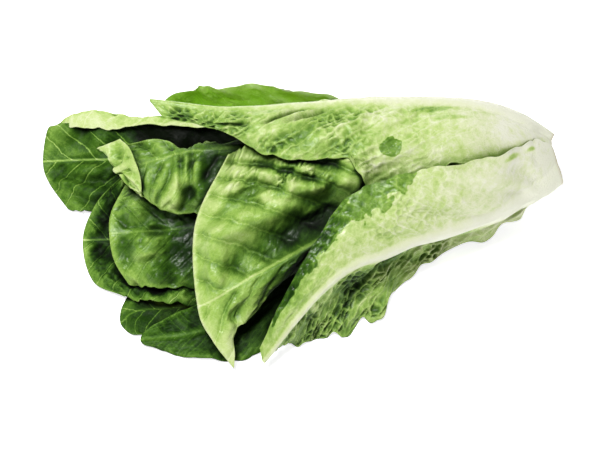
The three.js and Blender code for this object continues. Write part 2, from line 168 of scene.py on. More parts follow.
# ---- The leaves ---------------------------------------------------------------------------
# Each leaf is one thin waxy sheet with a juicy midrib on its outer face. Lateral veins leave
# the midrib at a slant, a net of fine veins joins them, and the green between them blisters.
# The bases clasp the stem one inside the other, and the upper halves fold and hang open.
#
# What the tables say of a leaf:
# share: its ring, as a share of the body's radius. turns: the angles of its left margin, rib and
#   right margin. clasp: how wide its halves are at the cut. body: what its rings go round.
# rings: where along the body it follows its ring. rows: after that, the points [along, up, out]
#   across the open leaf. grid: faces along and across.
# blade: thickness. rib: height at the base and tip, half width at the base and tip.
# scallops: depth of the lobes on the left and right, and their count. notch: over 2, the notches
#   are narrower than the lobes. nibble: depth of the frills on them.
# ruffle: size on the left and right, and waves. frilled: how much of it is in finer waves.
# lips: how far the left and right margins stand out where leaves clasp. ridges: size and count.
# swells: where along and across, how long and wide, and how far out. raked: how far they lean.
# laterals: the space between two, and how far they run towards the tip for each length outwards.
# blisters: how strong the relief is on the left and right half. blistered: from where along the
#   leaf, and where fully. bumps: where, how long and wide, and how much stronger it is there.
# heights: of its blisters, pleats, folds and crumples.
# inner, outer: how green each face is, base to tip, from 0, cream, to 1, dark, and past 1 to near
#   black, which is painted shade. margin: how much greener the margin is. pale_rib: how cream the
#   rib is at the base and tip.
# patches: where, how long and wide, and how much greener; some are the leaf's own tone, some
#   painted shade and some painted light. deep: where, how long and wide a frayed dark glossy
#   patch is.
USUAL = {
    "blade": 1, "rib": [0.7, 0.6, 4, 1.5], "body": HEAD_BODY, "clasp": [0.75, 0.75],
    "scallops": [0.03, 0.03, 9], "notch": 6, "nibble": 0.03, "ruffle": [1.5, 1.5, 4],
    "frilled": 0.3, "lips": [0, 0], "swells": [], "raked": 0, "laterals": [11, 1.2],
    "blistered": [0.05, 0.3], "bumps": [], "heights": [1.5, 1, 4, 5], "margin": 0,
    "pale_rib": [1, 0.5], "patches": [], "deep": [],
}
OUTER_LEAVES = [
    {
        "name": "front_top_leaf", "node": "leaf_front_top", "index": 0,
        "share": 0.86, "turns": [-6, 76, 130], "clasp": [0.45, 0.75],
        "rings": [148, 141, 129, 110, 88], "grid": [290, 124], "blade": 1.1,
        "rib": [4.2, 1, 12, 1.5], "scallops": [0.05, 0.05, 9], "ruffle": [2.2, 2.2, 4],
        "lips": [-1.6, 0], "ridges": [1.2, 6], "raked": 0.24,
        "swells": [[0.77, -0.3, 0.012, 0.16, -3.4], [0.725, -0.26, 0.01, 0.14, -3.2],
                   [0.84, -0.5, 0.014, 0.25, -3.2], [0.748, -0.28, 0.01, 0.15, 1.8],
                   [0.8, -0.35, 0.014, 0.2, 1.8], [0.6, -0.95, 0.05, 0.25, -3.2]],
        "laterals": [14, 1.7], "blisters": [1, 0.7], "blistered": [0.2, 0.55],
        "heights": [1.5, 0.5, 4, 5.5],
        "inner": [0.25, 0.45, 0.6, 0.62], "outer": [0, 0.1, 0.35, 0.54], "pale_rib": [1.3, 0],
        # The first patch is painted shade, in the valley along the crease under the low leaf's
        # margin.
        "patches": [[0.25, -0.97, 0.22, 0.2, 0.2], [0.8, -0.7, 0.2, 0.5, 0.08],
                    [0.48, -0.2, 0.05, 0.05, 0.24], [0.44, -0.36, 0.04, 0.04, 0.2]],
        "deep": [[0.54, -0.6, 0.02, 0.12]],
        "rows": [
            [[46, 17, 64], [46, 49, 63], [46, 71, 42], [46, 70, 22], [46, 60, 8]],
            [[26, 36, 66], [26, 54, 64], [26, 70, 46], [26, 69, 29], [26, 61, 16]],
            [[-14, 37, 65], [-14, 55, 64.5], [-14, 67, 52], [-14, 67, 39], [-14, 61, 28]],
            [[-44, 53, 62], [-45, 60, 63], [-46, 66, 57], [-46, 65, 48], [-46, 61, 40]],
            [[-78, 61, 58], [-82, 66, 57], [-86, 71, 55], [-84, 69, 51], [-78, 65, 46]],
        ],
    },
    {
        "name": "front_low_leaf", "node": "leaf_front_low", "index": 1,
        "share": 1, "turns": [-125, -66, 24], "clasp": [0.75, 1.12], "rings": [148, 139],
        "grid": [280, 150], "blade": 1.2, "rib": [3.6, 1.2, 13, 2],
        "scallops": [0.1, 0.03, 11], "notch": 4, "nibble": 0.015,
        "ruffle": [2.6, 0.8, 7], "frilled": 0.1, "lips": [0, -1.4], "ridges": [1.4, 6],
        "laterals": [11, 0.9], "blisters": [1.3, 0.42], "blistered": [0.16, 0.5],
        "heights": [2, 0.3, 2.5, 4.5],
        "inner": [0.25, 0.45, 0.6, 0.62], "outer": [0, 0.12, 0.3, 0.52],
        "patches": [[0.2, 0.86, 0.04, 0.045, 0.4], [0.3, 0.88, 0.03, 0.05, 0.4],
                    [0.86, 0.9, 0.1, 0.4, 0.16], [0.68, -0.6, 0.28, 0.5, 0.2],
                    [0.2, -0.8, 0.25, 0.4, 0.12], [0.56, -0.34, 0.22, 0.14, 0.3]],
        "deep": [[0.57, 0.97, 0.06, 0.24], [0.64, 0.93, 0.08, 0.34], [0.71, 0.9, 0.08, 0.38],
                 [0.78, 0.9, 0.09, 0.36], [0.86, 0.92, 0.09, 0.3]],
        "rows": [
            [[129, 5, 14], [129, 11, 20], [129, 15, 33], [129, 30, 46.2], [129, 46.5, 46.4]],
            [[108, -8, 10], [108, -1, 21], [108, 4, 39], [108, 19, 58], [108, 38.5, 62.5]],
            [[70, -26, 18], [70, -11, 30], [70, -8, 51], [70, 10, 69], [70, 32, 73]],
            [[46, -54, 32], [46, -25, 38], [46, -17, 58], [46, 1, 72], [46, 25.5, 74]],
            [[23, -66, 37], [23, -40, 46], [23, -27, 64], [23, -8, 73], [23, 12.5, 73]],
            [[0, -69, 40], [-1, -60, 51], [-3, -54, 60], [-5, -46, 66], [-7, -36, 68]],
            [[-14, -68, 53], [-18, -74, 55], [-21, -78, 56], [-22, -75, 58], [-23, -70, 60]],
        ],
    },
    {
        "name": "back_top_leaf", "node": "leaf_back_top", "index": 7,
        "share": 1, "turns": [112, 138, 172], "rings": [148, 138, 122, 100, 76],
        "grid": [180, 60], "blade": 1.1, "rib": [2.6, 0.8, 7, 1.5],
        "scallops": [0.02, 0.04, 9], "nibble": 0.01, "ruffle": [1.6, 1.6, 4],
        "ridges": [1, 5], "blisters": [0.9, 0.9],
        # Its inner face is cream towards its middle, partly its own pale base and partly painted
        # light, for the light that comes through it.
        "inner": [0.2, 0.1, 0, 0.7], "outer": [0.08, 0.24, 0.36, 0.44], "margin": -0.2,
        "rows": [
            [[30, 73, 16], [30, 71, 4], [30, 62, -8], [30, 53, -15], [30, 44, -20]],
            [[-14, 81.5, 12], [-14, 75.5, 1], [-14, 65, -9], [-14, 56, -17], [-14, 46, -21]],
            [[-50, 81.5, 10], [-50, 75.5, 0], [-50, 66, -8], [-50, 57, -16], [-50, 48, -21]],
            [[-66, 80, 10], [-76, 77, 4], [-82, 70.5, -3], [-78, 60, -11], [-68, 50, -19]],
        ],
    },
    {
        "name": "underneath_leaf", "node": "leaf_underneath", "index": 10,
        "share": 0.94, "turns": [165, 205, 236], "rings": [148, 139, 124, 98, 70],
        "grid": [140, 50], "blade": 1.1, "rib": [2.6, 1, 7, 1.5],
        "scallops": [0.04, 0.04, 9], "ruffle": [0.6, 0.6, 4], "ridges": [0, 5],
        "blisters": [0.1, 0.1],
        "inner": [0.3, 0.47, 0.6, 0.75], "outer": [0.08, 0.26, 0.4, 0.5],
        "rows": [
            [[30, 38, -17], [30, 28, -13.6], [30, 14, -7], [30, 8, -3.2], [30, 3, -0.5]],
            [[-20, 36, -16], [-20, 26, -12.7], [-20, 12, -5.8], [-20, 6, -1.8], [-20, 1, 1.5]],
            [[-60, 34, -16], [-60, 24, -12], [-60, 12, -5.5], [-60, 6, -1.5], [-60, 1, 1.5]],
            [[-80, 30, -14], [-90, 22, -11], [-94, 13, -6], [-90, 7, -2], [-80, 2, 1]],
        ],
    },
]
# The leaves that face away from the light, notched, long back, near side and near tip, have inner
# greens past 1, towards near black: partly their own dark green and partly painted shade.
INNER_LEAVES = [
    {
        "name": "cupped_leaf", "node": "leaf_cupped", "index": 2,
        "share": 0.45, "turns": [110, 215, 290], "rings": [112, 100, 86],
        "grid": [250, 140], "scallops": [0.02, 0.03, 9], "nibble": 0, "ruffle": [2, 2, 4],
        "ridges": [0.4, 5],
        "swells": [[0.69, -0.16, 0.12, 0.15, 8], [0.62, -0.3, 0.08, 0.2, 8],
                   [0.8, -0.4, 0.13, 0.08, -6], [0.8, 0.62, 0.05, 0.25, 4],
                   [0.7, -0.74, 0.06, 0.08, -4], [0.87, -0.2, 0.05, 0.2, -4],
                   [0.76, -0.6, 0.04, 0.05, 4], [0.66, -0.55, 0.05, 0.08, -4],
                   [0.54, -0.5, 0.05, 0.3, -5]],
        "laterals": [17, 1.1], "blisters": [1, 0.8], "heights": [0.9, -1, 3, 4.5],
        "bumps": [[0.76, -0.75, 0.14, 0.3, 1.2], [0.6, -0.7, 0.1, 0.3, 0.9]],
        "inner": [0.4, 0.62, 0.72, 0.46], "outer": [0.12, 0.26, 0.36, 0.4],
        "margin": -0.14, "pale_rib": [1.8, 0.7],
        # Most of these patches are painted shade in the hollows its swells make; the two paler
        # ones are painted light, on a fold and where it comes up under the top leaf.
        "patches": [[0.68, -0.16, 0.12, 0.12, 0.22], [0.62, -0.3, 0.09, 0.2, 0.22],
                    [0.76, -0.6, 0.04, 0.06, 0.2], [0.8, 0.62, 0.04, 0.2, 0.22],
                    [0.8, -0.43, 0.1, 0.07, -0.12], [0.62, 0.3, 0.1, 0.5, 0.2],
                    [0.54, -0.5, 0.05, 0.3, -0.18]],
        "rows": [
            [[58, 46, 30], [58, 30, 27], [58, 16, 32], [58, 10, 38], [58, 8, 48]],
            [[34, 47, 57], [34, 26, 55], [34, 5, 48], [34, 0, 45], [34, -4, 46]],
            [[12, 47, 60], [12, 20, 60], [12, -8, 55], [12, -14, 51], [12, -16, 43]],
            [[-22, 46, 56], [-28, 12, 60], [-30, -31, 60], [-29, -42, 58], [-27, -51, 51]],
            [[-32, 45, 54], [-47, 5, 60], [-48, -42, 60], [-43, -56, 60], [-36, -61, 56]],
            [[-40, 42, 52], [-60, 0, 54], [-58.5, -47, 56], [-49.5, -66.5, 58], [-38, -82, 54]],
        ],
    },
    {
        "name": "folded_tip_leaf", "node": "leaf_folded_tip", "index": 3,
        "share": 0.52, "turns": [100, 170, 240], "rings": [116, 103, 88],
        "grid": [240, 90], "rib": [0.5, 0.6, 4, 1.5], "nibble": 0.01, "ridges": [0.8, 6],
        "swells": [[0.703, 0.3, 0.024, 0.3, -3], [0.662, 0.26, 0.024, 0.3, -3],
                   [0.618, 0.34, 0.024, 0.3, -3], [0.683, 0.26, 0.015, 0.25, 2],
                   [0.64, 0.28, 0.015, 0.25, 2], [0.7, 0.72, 0.03, 0.14, -4],
                   [0.66, 0.62, 0.022, 0.12, 3], [0.6, 0.65, 0.03, 0.15, -3.5]],
        "laterals": [11, 0.6], "blisters": [0.9, 1], "heights": [1, -0.8, 4, 9],
        "inner": [0.4, 0.66, 0.74, 0.62], "outer": [0.1, 0.4, 0.5, 0.54],
        "margin": -0.12, "pale_rib": [1.7, 0],
        # The first three patches are painted shade in the hollows between its ridges.
        "patches": [[0.683, 0.26, 0.014, 0.25, 0.14], [0.642, 0.28, 0.014, 0.25, 0.14],
                    [0.66, 0.6, 0.025, 0.12, 0.2], [0.58, 0.4, 0.03, 0.5, 0.25],
                    [0.92, 0, 0.06, 1.5, -0.14]],
        "rows": [
            [[50, 52, 29], [50, 48, 20], [50, 38, 16], [50, 28, 16], [50, 20, 22]],
            [[0, 60, 34], [0, 53, 32], [0, 45, 34], [0, 28, 34], [0, 10, 34]],
            [[-46, 47, 32], [-46, 46.5, 38], [-46, 44, 43], [-46, 25, 45], [-46, 5, 40]],
            [[-66, 44, 34], [-66, 43.5, 38], [-66, 41.5, 41.5], [-66, 24, 45], [-66, 6, 39.5]],
            [[-81, 49, 32], [-81, 44, 37], [-81, 38, 40], [-81, 24, 44], [-81, 9, 38]],
            [[-116, 45, 30], [-111, 38, 33], [-107, 31, 36], [-101, 24, 38], [-92, 17, 38]],
            [[-105, 50, 36], [-99, 45, 40], [-95, 37, 44], [-92, 28, 44], [-90.5, 18, 42]],
        ],
    },
    {
        "name": "round_leaf", "node": "leaf_round", "index": 4,
        "share": 0.59, "turns": [140, 210, 280], "rings": [120, 106, 90],
        "grid": [220, 90], "ridges": [1.2, 5],
        "swells": [[0.9, 0.25, 0.05, 0.25, -6], [0.93, -0.5, 0.04, 0.25, -5],
                   [0.83, -0.5, 0.04, 0.2, -5], [0.86, 0.75, 0.04, 0.2, -5],
                   [0.87, 0.02, 0.03, 0.12, 4]],
        "laterals": [12, 1], "blisters": [1.1, 1], "blistered": [0.45, 0.68],
        "heights": [1.2, 0.6, 5, 8],
        "inner": [0.45, 0.85, 0.95, 0.72], "outer": [0.12, 0.27, 0.38, 0.42],
        # Its patch is painted shade, where it is tucked under the cupped leaf.
        "margin": -0.16, "patches": [[0.74, 0.1, 0.09, 1.2, 0.3]],
        "rows": [
            [[50, 48, 12], [50, 34, 8], [50, 20, 10], [50, 8, 20], [50, 4, 33]],
            [[0, 38, 20], [0, 20, 18], [0, 4, 22], [0, -12, 26], [0, -22, 34]],
            [[-46, 30, 24], [-46, 16, 24], [-46, 0, 26], [-46, -18, 28], [-46, -36, 31]],
            [[-81, 24, 24], [-81, 10, 27], [-81, -3, 30], [-81, -20, 30], [-81, -37, 31]],
            [[-102, 24, 22], [-110, 8, 26], [-111, -5, 30], [-108, -21, 30], [-99, -36, 28]],
        ],
    },
    {
        "name": "notched_leaf", "node": "leaf_notched", "index": 5,
        "share": 0.66, "turns": [130, 200, 265], "rings": [124, 109, 90],
        "grid": [220, 90], "scallops": [0.04, 0.04, 11], "ruffle": [1.6, 1.6, 4],
        "ridges": [1, 6], "laterals": [13, 1], "blisters": [1.2, 1.2],
        "blistered": [0.45, 0.68], "heights": [1.5, 1, 4.5, 9],
        "inner": [0.45, 1, 1.2, 0.98], "outer": [0.12, 0.28, 0.4, 0.45], "margin": -0.3,
        "rows": [
            [[50, 52, 10], [50, 37, 5], [50, 20, 7], [50, 7, 15.5], [50, 1, 25]],
            [[0, 44, 12], [0, 26, 8], [0, 8, 9], [0, -8, 15], [0, -18, 24]],
            [[-50, 34, 14], [-50, 16, 10], [-50, -5, 12], [-50, -26, 20], [-50, -45, 32]],
            [[-95, 30, 14], [-96, 14, 10], [-97, -8, 12], [-95, -28, 20.5], [-88, -45, 33]],
            [[-105, 29, 12], [-120, 13, 10], [-128, -9, 12], [-121, -33, 22], [-102, -42, 29]],
        ],
    },
    {
        "name": "long_back_leaf", "node": "leaf_long_back", "index": 6,
        "share": 0.73, "turns": [105, 180, 240], "rings": [128, 111, 90],
        "grid": [250, 90], "rib": [1.2, 0.8, 4, 1.5], "scallops": [0.03, 0.03, 10],
        "ruffle": [1.4, 1.4, 4], "ridges": [1, 6],
        "swells": [[0.93, -0.33, 0.04, 0.13, -4], [0.86, 0.2, 0.05, 0.14, -4],
                   [0.78, 0.1, 0.04, 0.15, -4], [0.84, -0.25, 0.04, 0.12, -3.5],
                   [0.86, 0.6, 0.06, 0.15, -3.5], [0.93, 0.5, 0.04, 0.15, -3.5]],
        "laterals": [15, 1.1], "blisters": [0.6, 0.8], "blistered": [0.3, 0.5],
        "heights": [0.5, 0.8, 3, 8],
        "inner": [0.45, 0.95, 1.15, 0.8], "outer": [0.1, 0.39, 0.62, 0.6], "margin": -0.06,
        # The first patch is its pale folded strip; the second is painted shade, near black where
        # it lies deep under the top leaf.
        "patches": [[0.75, -0.9, 0.45, 0.38, -0.26], [0.66, -0.35, 0.1, 0.3, 1]],
        "rows": [
            [[50, 59, 24], [50, 55, 4], [50, 34, -2], [50, 17, 2.3], [50, 7, 10]],
            [[0, 57, 18], [0, 52, 0], [0, 35, -5], [0, 16, 0], [0, 4, 8]],
            [[-58, 59, 3], [-58, 62, -3], [-58, 37, -8], [-58, 18, -4], [-58, 4, 4]],
            [[-93, 58.5, -1], [-94, 63.5, -7], [-96, 39, -10], [-95, 22, -6], [-93, 8, 2]],
            [[-120, 57, -6], [-126, 67, -13], [-128, 39, -12], [-126, 22, -7], [-118, 7, 1]],
            [[-143, 58, -11], [-151, 58, -15], [-154, 38, -13], [-150, 25, -11], [-137, 8, -3]],
        ],
    },
    {
        "name": "near_side_leaf", "node": "leaf_near_side", "index": 8,
        "share": 0.82, "turns": [-112, -86, -55], "rings": [134, 118, 98, 76],
        "grid": [170, 60], "rib": [2, 0.6, 5, 1.5], "scallops": [0.04, 0.04, 9],
        "ruffle": [1.2, 1.2, 4], "ridges": [0.8, 5], "blisters": [0.7, 0.7],
        "heights": [0.9, 1, 4, 8], "inner": [0.5, 0.9, 1.1, 0.95],
        "outer": [0.3, 0.7, 0.95, 0.92], "margin": -0.1, "pale_rib": [0.1, 0.1],
        "rows": [
            [[40, -16, 12], [40, -14, 20], [40, -10, 27], [40, -6, 34], [40, -3, 40]],
            [[0, -52, 33], [0, -42, 30], [0, -34, 30], [0, -28, 34], [0, -22, 40]],
            [[-26, -76, 46], [-26, -62, 41], [-26, -50, 37], [-26, -40, 37], [-26, -31, 40]],
            [[-60, -77, 47], [-60, -70, 44], [-60, -62, 42], [-60, -54, 40], [-60, -45, 37]],
            [[-84, -71, 44], [-90, -69, 43], [-92, -66, 43], [-90, -62, 44], [-84, -57, 43]],
        ],
    },
    {
        "name": "near_tip_leaf", "node": "leaf_near_tip", "index": 9,
        "share": 0.83, "turns": [192, 214, 232], "rings": [132, 117, 98, 76],
        "grid": [160, 50], "rib": [0.6, 0.6, 4, 1.5], "scallops": [0.05, 0.05, 9],
        "ruffle": [1.2, 1.2, 4], "ridges": [0.5, 5], "blisters": [0.4, 0.4],
        "heights": [0.9, 1, 4, 8], "inner": [0.5, 0.9, 1.1, 0.9],
        "outer": [0.3, 0.61, 0.85, 0.9], "margin": -0.1, "pale_rib": [0.3, 0.3],
        "rows": [
            [[40, 9, 2], [40, 2, 5], [40, -4, 9], [40, -9, 13], [40, -12, 19]],
            [[0, -5, 7], [0, -10, 9], [0, -14, 11.5], [0, -19, 14.5], [0, -24, 18]],
            [[-60, -33, 20], [-60, -39, 23.2], [-60, -45, 26.7], [-60, -51, 30], [-60, -57, 33.5]],
            [[-90, -34, 21], [-92, -42, 25], [-94, -50, 30], [-90, -58, 35], [-84, -62, 37]],
            [[-100, -40, 25], [-104, -49, 30], [-104, -57, 35], [-98, -63, 38], [-91, -64, 39]],
        ],
    },
]
RIB_TAPER = 1.2  # over 1, a rib thins faster near its base than near its tip
RIB_SPREAD = 0.5  # the most of a half leaf that a rib takes up
RIB_SHOULDER = 0.8  # how much of its height a rib has lost at its edge
RIDGE_RAKE = 0.4  # how far a ridge runs towards the tip before the margin
RIDGE_BULGE = 0.7  # under 1, ridges are highest near the rib
FULL_RIDGES = 0.15  # how far past its rings a leaf's ridges are fully grown
FULL_RUFFLE = 0.2  # and its ruffle
LEAF_PHASE, HALF_PHASE = 1.7, 2.1  # so that no two margins wave alike
FRILLS = 2.7  # frills to a lobe, or to a wave of the ruffle
FRILLED = (0.25, 0.5)  # where along a leaf its frills start, and are full
LIP_WIDTH = (0.72, 0.98)  # where across a half leaf its lip starts, and stands out fully
LIP_GROWS, LIP_FADES = (0.03, 0.15), (0.35, 0.6)  # where along a leaf its lip does
STEP = 1e-3  # how far apart the points are that a slope is taken from
EDGE_THIN = 0.35  # a blade's thickness at its margin, as a share of its full thickness
EDGE_WIDTH = 0.12  # how far in it is full, as a share of half the leaf
TIP_MARGIN = 3  # how many times further the tip is than the margin for the same share
LATERAL_BEND = 150.0  # the radius that a lateral bends further towards the tip with
ALTERNATE = 0.45  # how far the laterals of one half sit from the other half's
PLANS_APART = 400  # between two leaves' patterns, so that none is like another
OFF_RIB = (0.8, 2.2)  # how many half widths off the rib the relief starts, and is full
OFF_MARGIN = (0, 0.08)  # and how far in from the margin
PATCH_EDGE = (0.3, 1.4)  # where a patch starts to fade, and is gone, in its own half sizes
GREEN_STOPS = [0.04, 0.3, 0.5, 1]  # where along a leaf its greens are given
MARGIN_WIDTH = (0.72, 0.97)  # where across a half leaf its margin starts to differ, and does fully
MARGIN_GROWS = (0.1, 0.5)  # and where along it
TIP_BAND = (0.965, 1)  # and where along it the whole tip does


def spline(a, b, c, d, f):
    """The middle stretch of a uniform Catmull-Rom curve."""
    return b + 0.5 * f * (c - a + f * (2 * a - 5 * b + 4 * c - d + f * (3 * (b - c) + d - a)))


def with_ends(points):
    """Points with one more at each end, straight on."""
    return np.concatenate([[2 * points[0] - points[1]], points, [2 * points[-1] - points[-2]]])


def stretch_of(points, share):
    """Which stretch of a curve each share falls in, and how far along that stretch."""
    n = len(points) - 1
    k = np.minimum((share * n).astype(int), n - 1)
    return k, share * n - k


def middle_surface(net, t, u):
    """Points on a leaf's middle at t along (one a row) and u across (one a point)."""
    k, f = stretch_of(net, t)
    p = with_ends(net)
    lines = spline(p[k], p[k + 1], p[k + 2], p[k + 3], f[:, None, None]).swapaxes(0, 1)
    k, f = stretch_of(lines, (u + 1) / 2)
    p, row = with_ends(lines), np.arange(len(t))[:, None]
    return place(spline(p[k, row], p[k + 1, row], p[k + 2, row], p[k + 3, row], f[..., None]))


def ring_row(leaf, along):
    """Points across a ring row, from the left margin over the rib to the right margin."""
    rib = leaf["turns"][1]
    grows = smooth(HEAD_BODY[0][0] - along, 0, CUT_REACH)
    left, right = (rib + (margin - rib) * (clasp + (1 - clasp) * grows)
                   for margin, clasp in zip(leaf["turns"][::2], leaf["clasp"]))
    turns = [left, (left + rib) / 2, rib, (rib + right) / 2, right]
    return [ring_point(leaf["body"], along, leaf["share"], degrees) for degrees in turns]


def even_rows(net, count):
    """Places along a leaf, from 0 to 1, that lie evenly spaced on its rib."""
    fine = np.linspace(0, 1, 4 * count)
    rib = middle_surface(net, fine, np.zeros((len(fine), 1)))[:, 0]
    run = np.concatenate([[0], np.cumsum(np.linalg.norm(np.diff(rib, axis=0), axis=1))])
    return np.interp(np.linspace(0, run[-1], count + 1), run, fine)


def lobed(leaf, tt, flat, side, phase):
    """flat moved in from a margin of round lobes with soft notches, frilled more finely."""
    left, right, count = leaf["scallops"]
    notch = np.cos(math.pi * count * tt + phase) ** leaf["notch"]
    frill = 1 - abs(np.sin(math.pi * FRILLS * count * tt + 2 * phase))
    return flat * (1 - np.where(side, right, left) * notch * abs(flat) ** 3
                   - leaf["nibble"] * frill * smooth(tt, *FRILLED) * abs(flat) ** 5)


def on_patch(patch, along, across, rake=0.0):
    """How far places are on a patch: 1 well on it, 0 off it."""
    at_along, at_across, length, width = patch
    aside = across - at_across
    gap = np.hypot((along - at_along + rake * aside) / length, aside / width)
    return 1 - smooth(gap, *PATCH_EDGE)


def leaf_sheet(leaf):
    """The grid of a leaf: its points and faces, and what its pattern and colour follow."""
    net = np.array([ring_row(leaf, along) for along in leaf["rings"]] + leaf["rows"], float)
    opens = (len(leaf["rings"]) - 1) / (len(net) - 1) if leaf["rows"] else 0.0
    rows, columns = leaf["grid"]
    t = even_rows(net, rows)
    flat = np.tile(np.linspace(-1, 1, columns + 1), (rows + 1, 1))
    tt = t[:, None] + 0 * flat
    side = flat > 0
    phase = leaf["index"] * LEAF_PHASE + np.where(side, HALF_PHASE, 0)
    u = lobed(leaf, tt, flat, side, phase)
    here = middle_surface(net, t, u)
    across = (middle_surface(net, t, np.minimum(u + STEP, 1))
              - middle_surface(net, t, np.maximum(u - STEP, -1)))
    along = (middle_surface(net, np.minimum(t + STEP, 1), u)
             - middle_surface(net, np.maximum(t - STEP, 0), u))
    normal = np.cross(across, along)
    normal /= np.linalg.norm(normal, axis=-1, keepdims=True)

    # How far each point is from the rib, and from the base, in millimetres over the leaf.
    steps = np.linalg.norm(np.diff(here, axis=1), axis=-1)
    run = np.concatenate([np.zeros((rows + 1, 1)), np.cumsum(steps, 1)], 1)
    from_rib = run - run[:, columns // 2][:, None]
    half = np.where(side, from_rib[:, -1:], -from_rib[:, :1])
    row_steps = np.linalg.norm(np.gradient(here, axis=0), axis=-1)
    rib_steps = row_steps[:, columns // 2][:, None]
    from_base = np.cumsum(rib_steps, 0) + 0 * flat

    # The form that the solid has too: the rib, the ruffled margins and the ridges.
    fade = (1 - tt) ** RIB_TAPER
    tall_base, tall_tip, wide_base, wide_tip = leaf["rib"]
    tall = tall_tip + (tall_base - tall_tip) * fade
    wide = np.minimum(wide_tip + (wide_base - wide_tip) * fade, RIB_SPREAD * half)
    rib = abs(from_rib) / wide
    bulge = tall * np.where(rib < 1, 1 - RIB_SHOULDER * rib ** 2,
                            (1 - RIB_SHOULDER) * np.clip(2 - rib, 0, 1))
    left, right, waves = leaf["ruffle"]
    open_run = (tt - opens) / (1 - opens)
    grown = smooth(tt, opens, opens + FULL_RUFFLE)
    lift = (np.where(side, right, left) * grown * abs(u) ** 3
            * (np.sin(2 * math.pi * waves * open_run + phase) + leaf["frilled"] * abs(u) ** 2
               * np.sin(2 * math.pi * FRILLS * waves * open_run + 2 * phase)))
    size, count = leaf["ridges"]
    grown = smooth(tt, opens, opens + FULL_RIDGES) * (1 - tt * tt)
    hump = np.sin(math.pi * abs(u) ** RIDGE_BULGE)
    waves = np.sin(2 * math.pi * count * (open_run - RIDGE_RAKE * abs(u)) + leaf["index"])
    lift = lift + size * grown * hump * waves

    # The form that it has besides: lips and swells, and a margin that thins out.
    left, right = leaf["lips"]
    lift = lift + (np.where(side, right, left) * smooth(abs(flat), *LIP_WIDTH)
                   * smooth(tt, *LIP_GROWS) * (1 - smooth(tt, *LIP_FADES)))
    for *patch, height in leaf["swells"]:
        lift = lift + height * on_patch(patch, tt, flat, leaf["raked"])
    middle = here + normal * lift[..., None]
    margin = np.minimum(1 - abs(flat), (1 - tt) * TIP_MARGIN)
    blade = leaf["blade"] / 2 * (EDGE_THIN + (1 - EDGE_THIN) * smooth(margin, 0, EDGE_WIDTH))
    inner = middle - normal * blade[..., None]
    outer = middle + normal * (blade + bulge)[..., None]
    inner[..., 2] = np.maximum(inner[..., 2], leaf["blade"])
    outer[..., 2] = np.maximum(outer[..., 2], 0)

    # What the veins, the blisters and the colours follow.
    run_out = abs(from_rib)
    space, lean = leaf["laterals"]
    toward_tip = lean * run_out + run_out ** 2 / (2 * LATERAL_BEND)
    crowded = np.clip(row_steps / rib_steps, 0, 1)
    relief = (np.where(side, leaf["blisters"][1], leaf["blisters"][0]) * crowded
              * smooth(rib, *OFF_RIB) * smooth(margin, *OFF_MARGIN)
              * smooth(from_base / from_base.max(), *leaf["blistered"]))
    for *patch, more in leaf["bumps"]:
        relief = relief * (1 + more * on_patch(patch, tt, flat))
    pale_base, pale_tip = leaf["pale_rib"]
    both = {
        "plan": np.stack([from_rib + PLANS_APART * leaf["index"], from_base, 0 * flat],
                         -1) * MILLIMETRE,
        "outward": normal,
        "lateral": (from_base - toward_tip) / space + np.where(side, ALTERNATE, 0),
        "rib": rib,
        "pale_rib": pale_base + (pale_tip - pale_base) * tt,
        "relief": relief,
        "margin": margin,
        "deep": np.max([0 * flat] + [on_patch(patch, tt, flat) for patch in leaf["deep"]], 0),
    }
    fields = {name: np.concatenate([v.reshape(-1, *v.shape[2:])] * 2) for name, v in both.items()}
    band = np.maximum(smooth(abs(flat), *MARGIN_WIDTH) * smooth(tt, *MARGIN_GROWS),
                      smooth(tt, *TIP_BAND))
    # The patches are partly the leaf's own tone and partly painted shade and painted light.
    more = leaf["margin"] * band + sum(
        greener * on_patch(patch, tt, flat) for *patch, greener in leaf["patches"])
    fields["green"] = np.concatenate([
        (np.interp(tt, GREEN_STOPS, leaf[face]) + more).ravel() for face in ("inner", "outer")])
    fields["outer_face"] = np.repeat([0.0, 1.0], flat.size)
    points = np.concatenate([inner.reshape(-1, 3), outer.reshape(-1, 3)])
    return points, sheet_faces(rows, columns), fields


def sheet_faces(rows, columns):
    """The faces of a closed sheet: its inner and outer face, and the rim between them."""
    wide = columns + 1
    shift = (rows + 1) * wide
    a = (np.arange(rows)[:, None] * wide + np.arange(columns)).ravel()
    inner = np.stack([a, a + wide, a + wide + 1, a + 1], -1)
    outer = np.stack([a, a + 1, a + wide + 1, a + wide], -1) + shift
    left = np.arange(rows) * wide
    right = left + columns
    base = np.arange(columns)
    tip = base + rows * wide
    rims = [
        np.stack([left, left + shift, left + shift + wide, left + wide], -1),
        np.stack([right, right + wide, right + shift + wide, right + shift], -1),
        np.stack([base, base + 1, base + 1 + shift, base + shift], -1),
        np.stack([tip, tip + shift, tip + shift + 1, tip + 1], -1),
    ]
    return np.concatenate([inner, outer, *rims]).tolist()


NET_CELL = 4.6  # between the coarse veins of the net, which the green blisters up between
FINE_CELL = 2.1  # between the finest veins that still show, coarser than the real ones
NET_STRETCH = 0.7  # under 1, the cells of the net are longer along the leaf
VEIN_HALF = 0.05  # a lateral's half width, as a share of the space between two laterals
SWAY_CELL = 13.3333  # between the bends of a vein
SWAY_REACH = 0.011  # how far the net is drawn with them, in metres
SWAYS = {"outer_leaf": 1.1, "inner_leaf": 0.45, "heart_leaf": 0.45}  # and laterals, in spaces


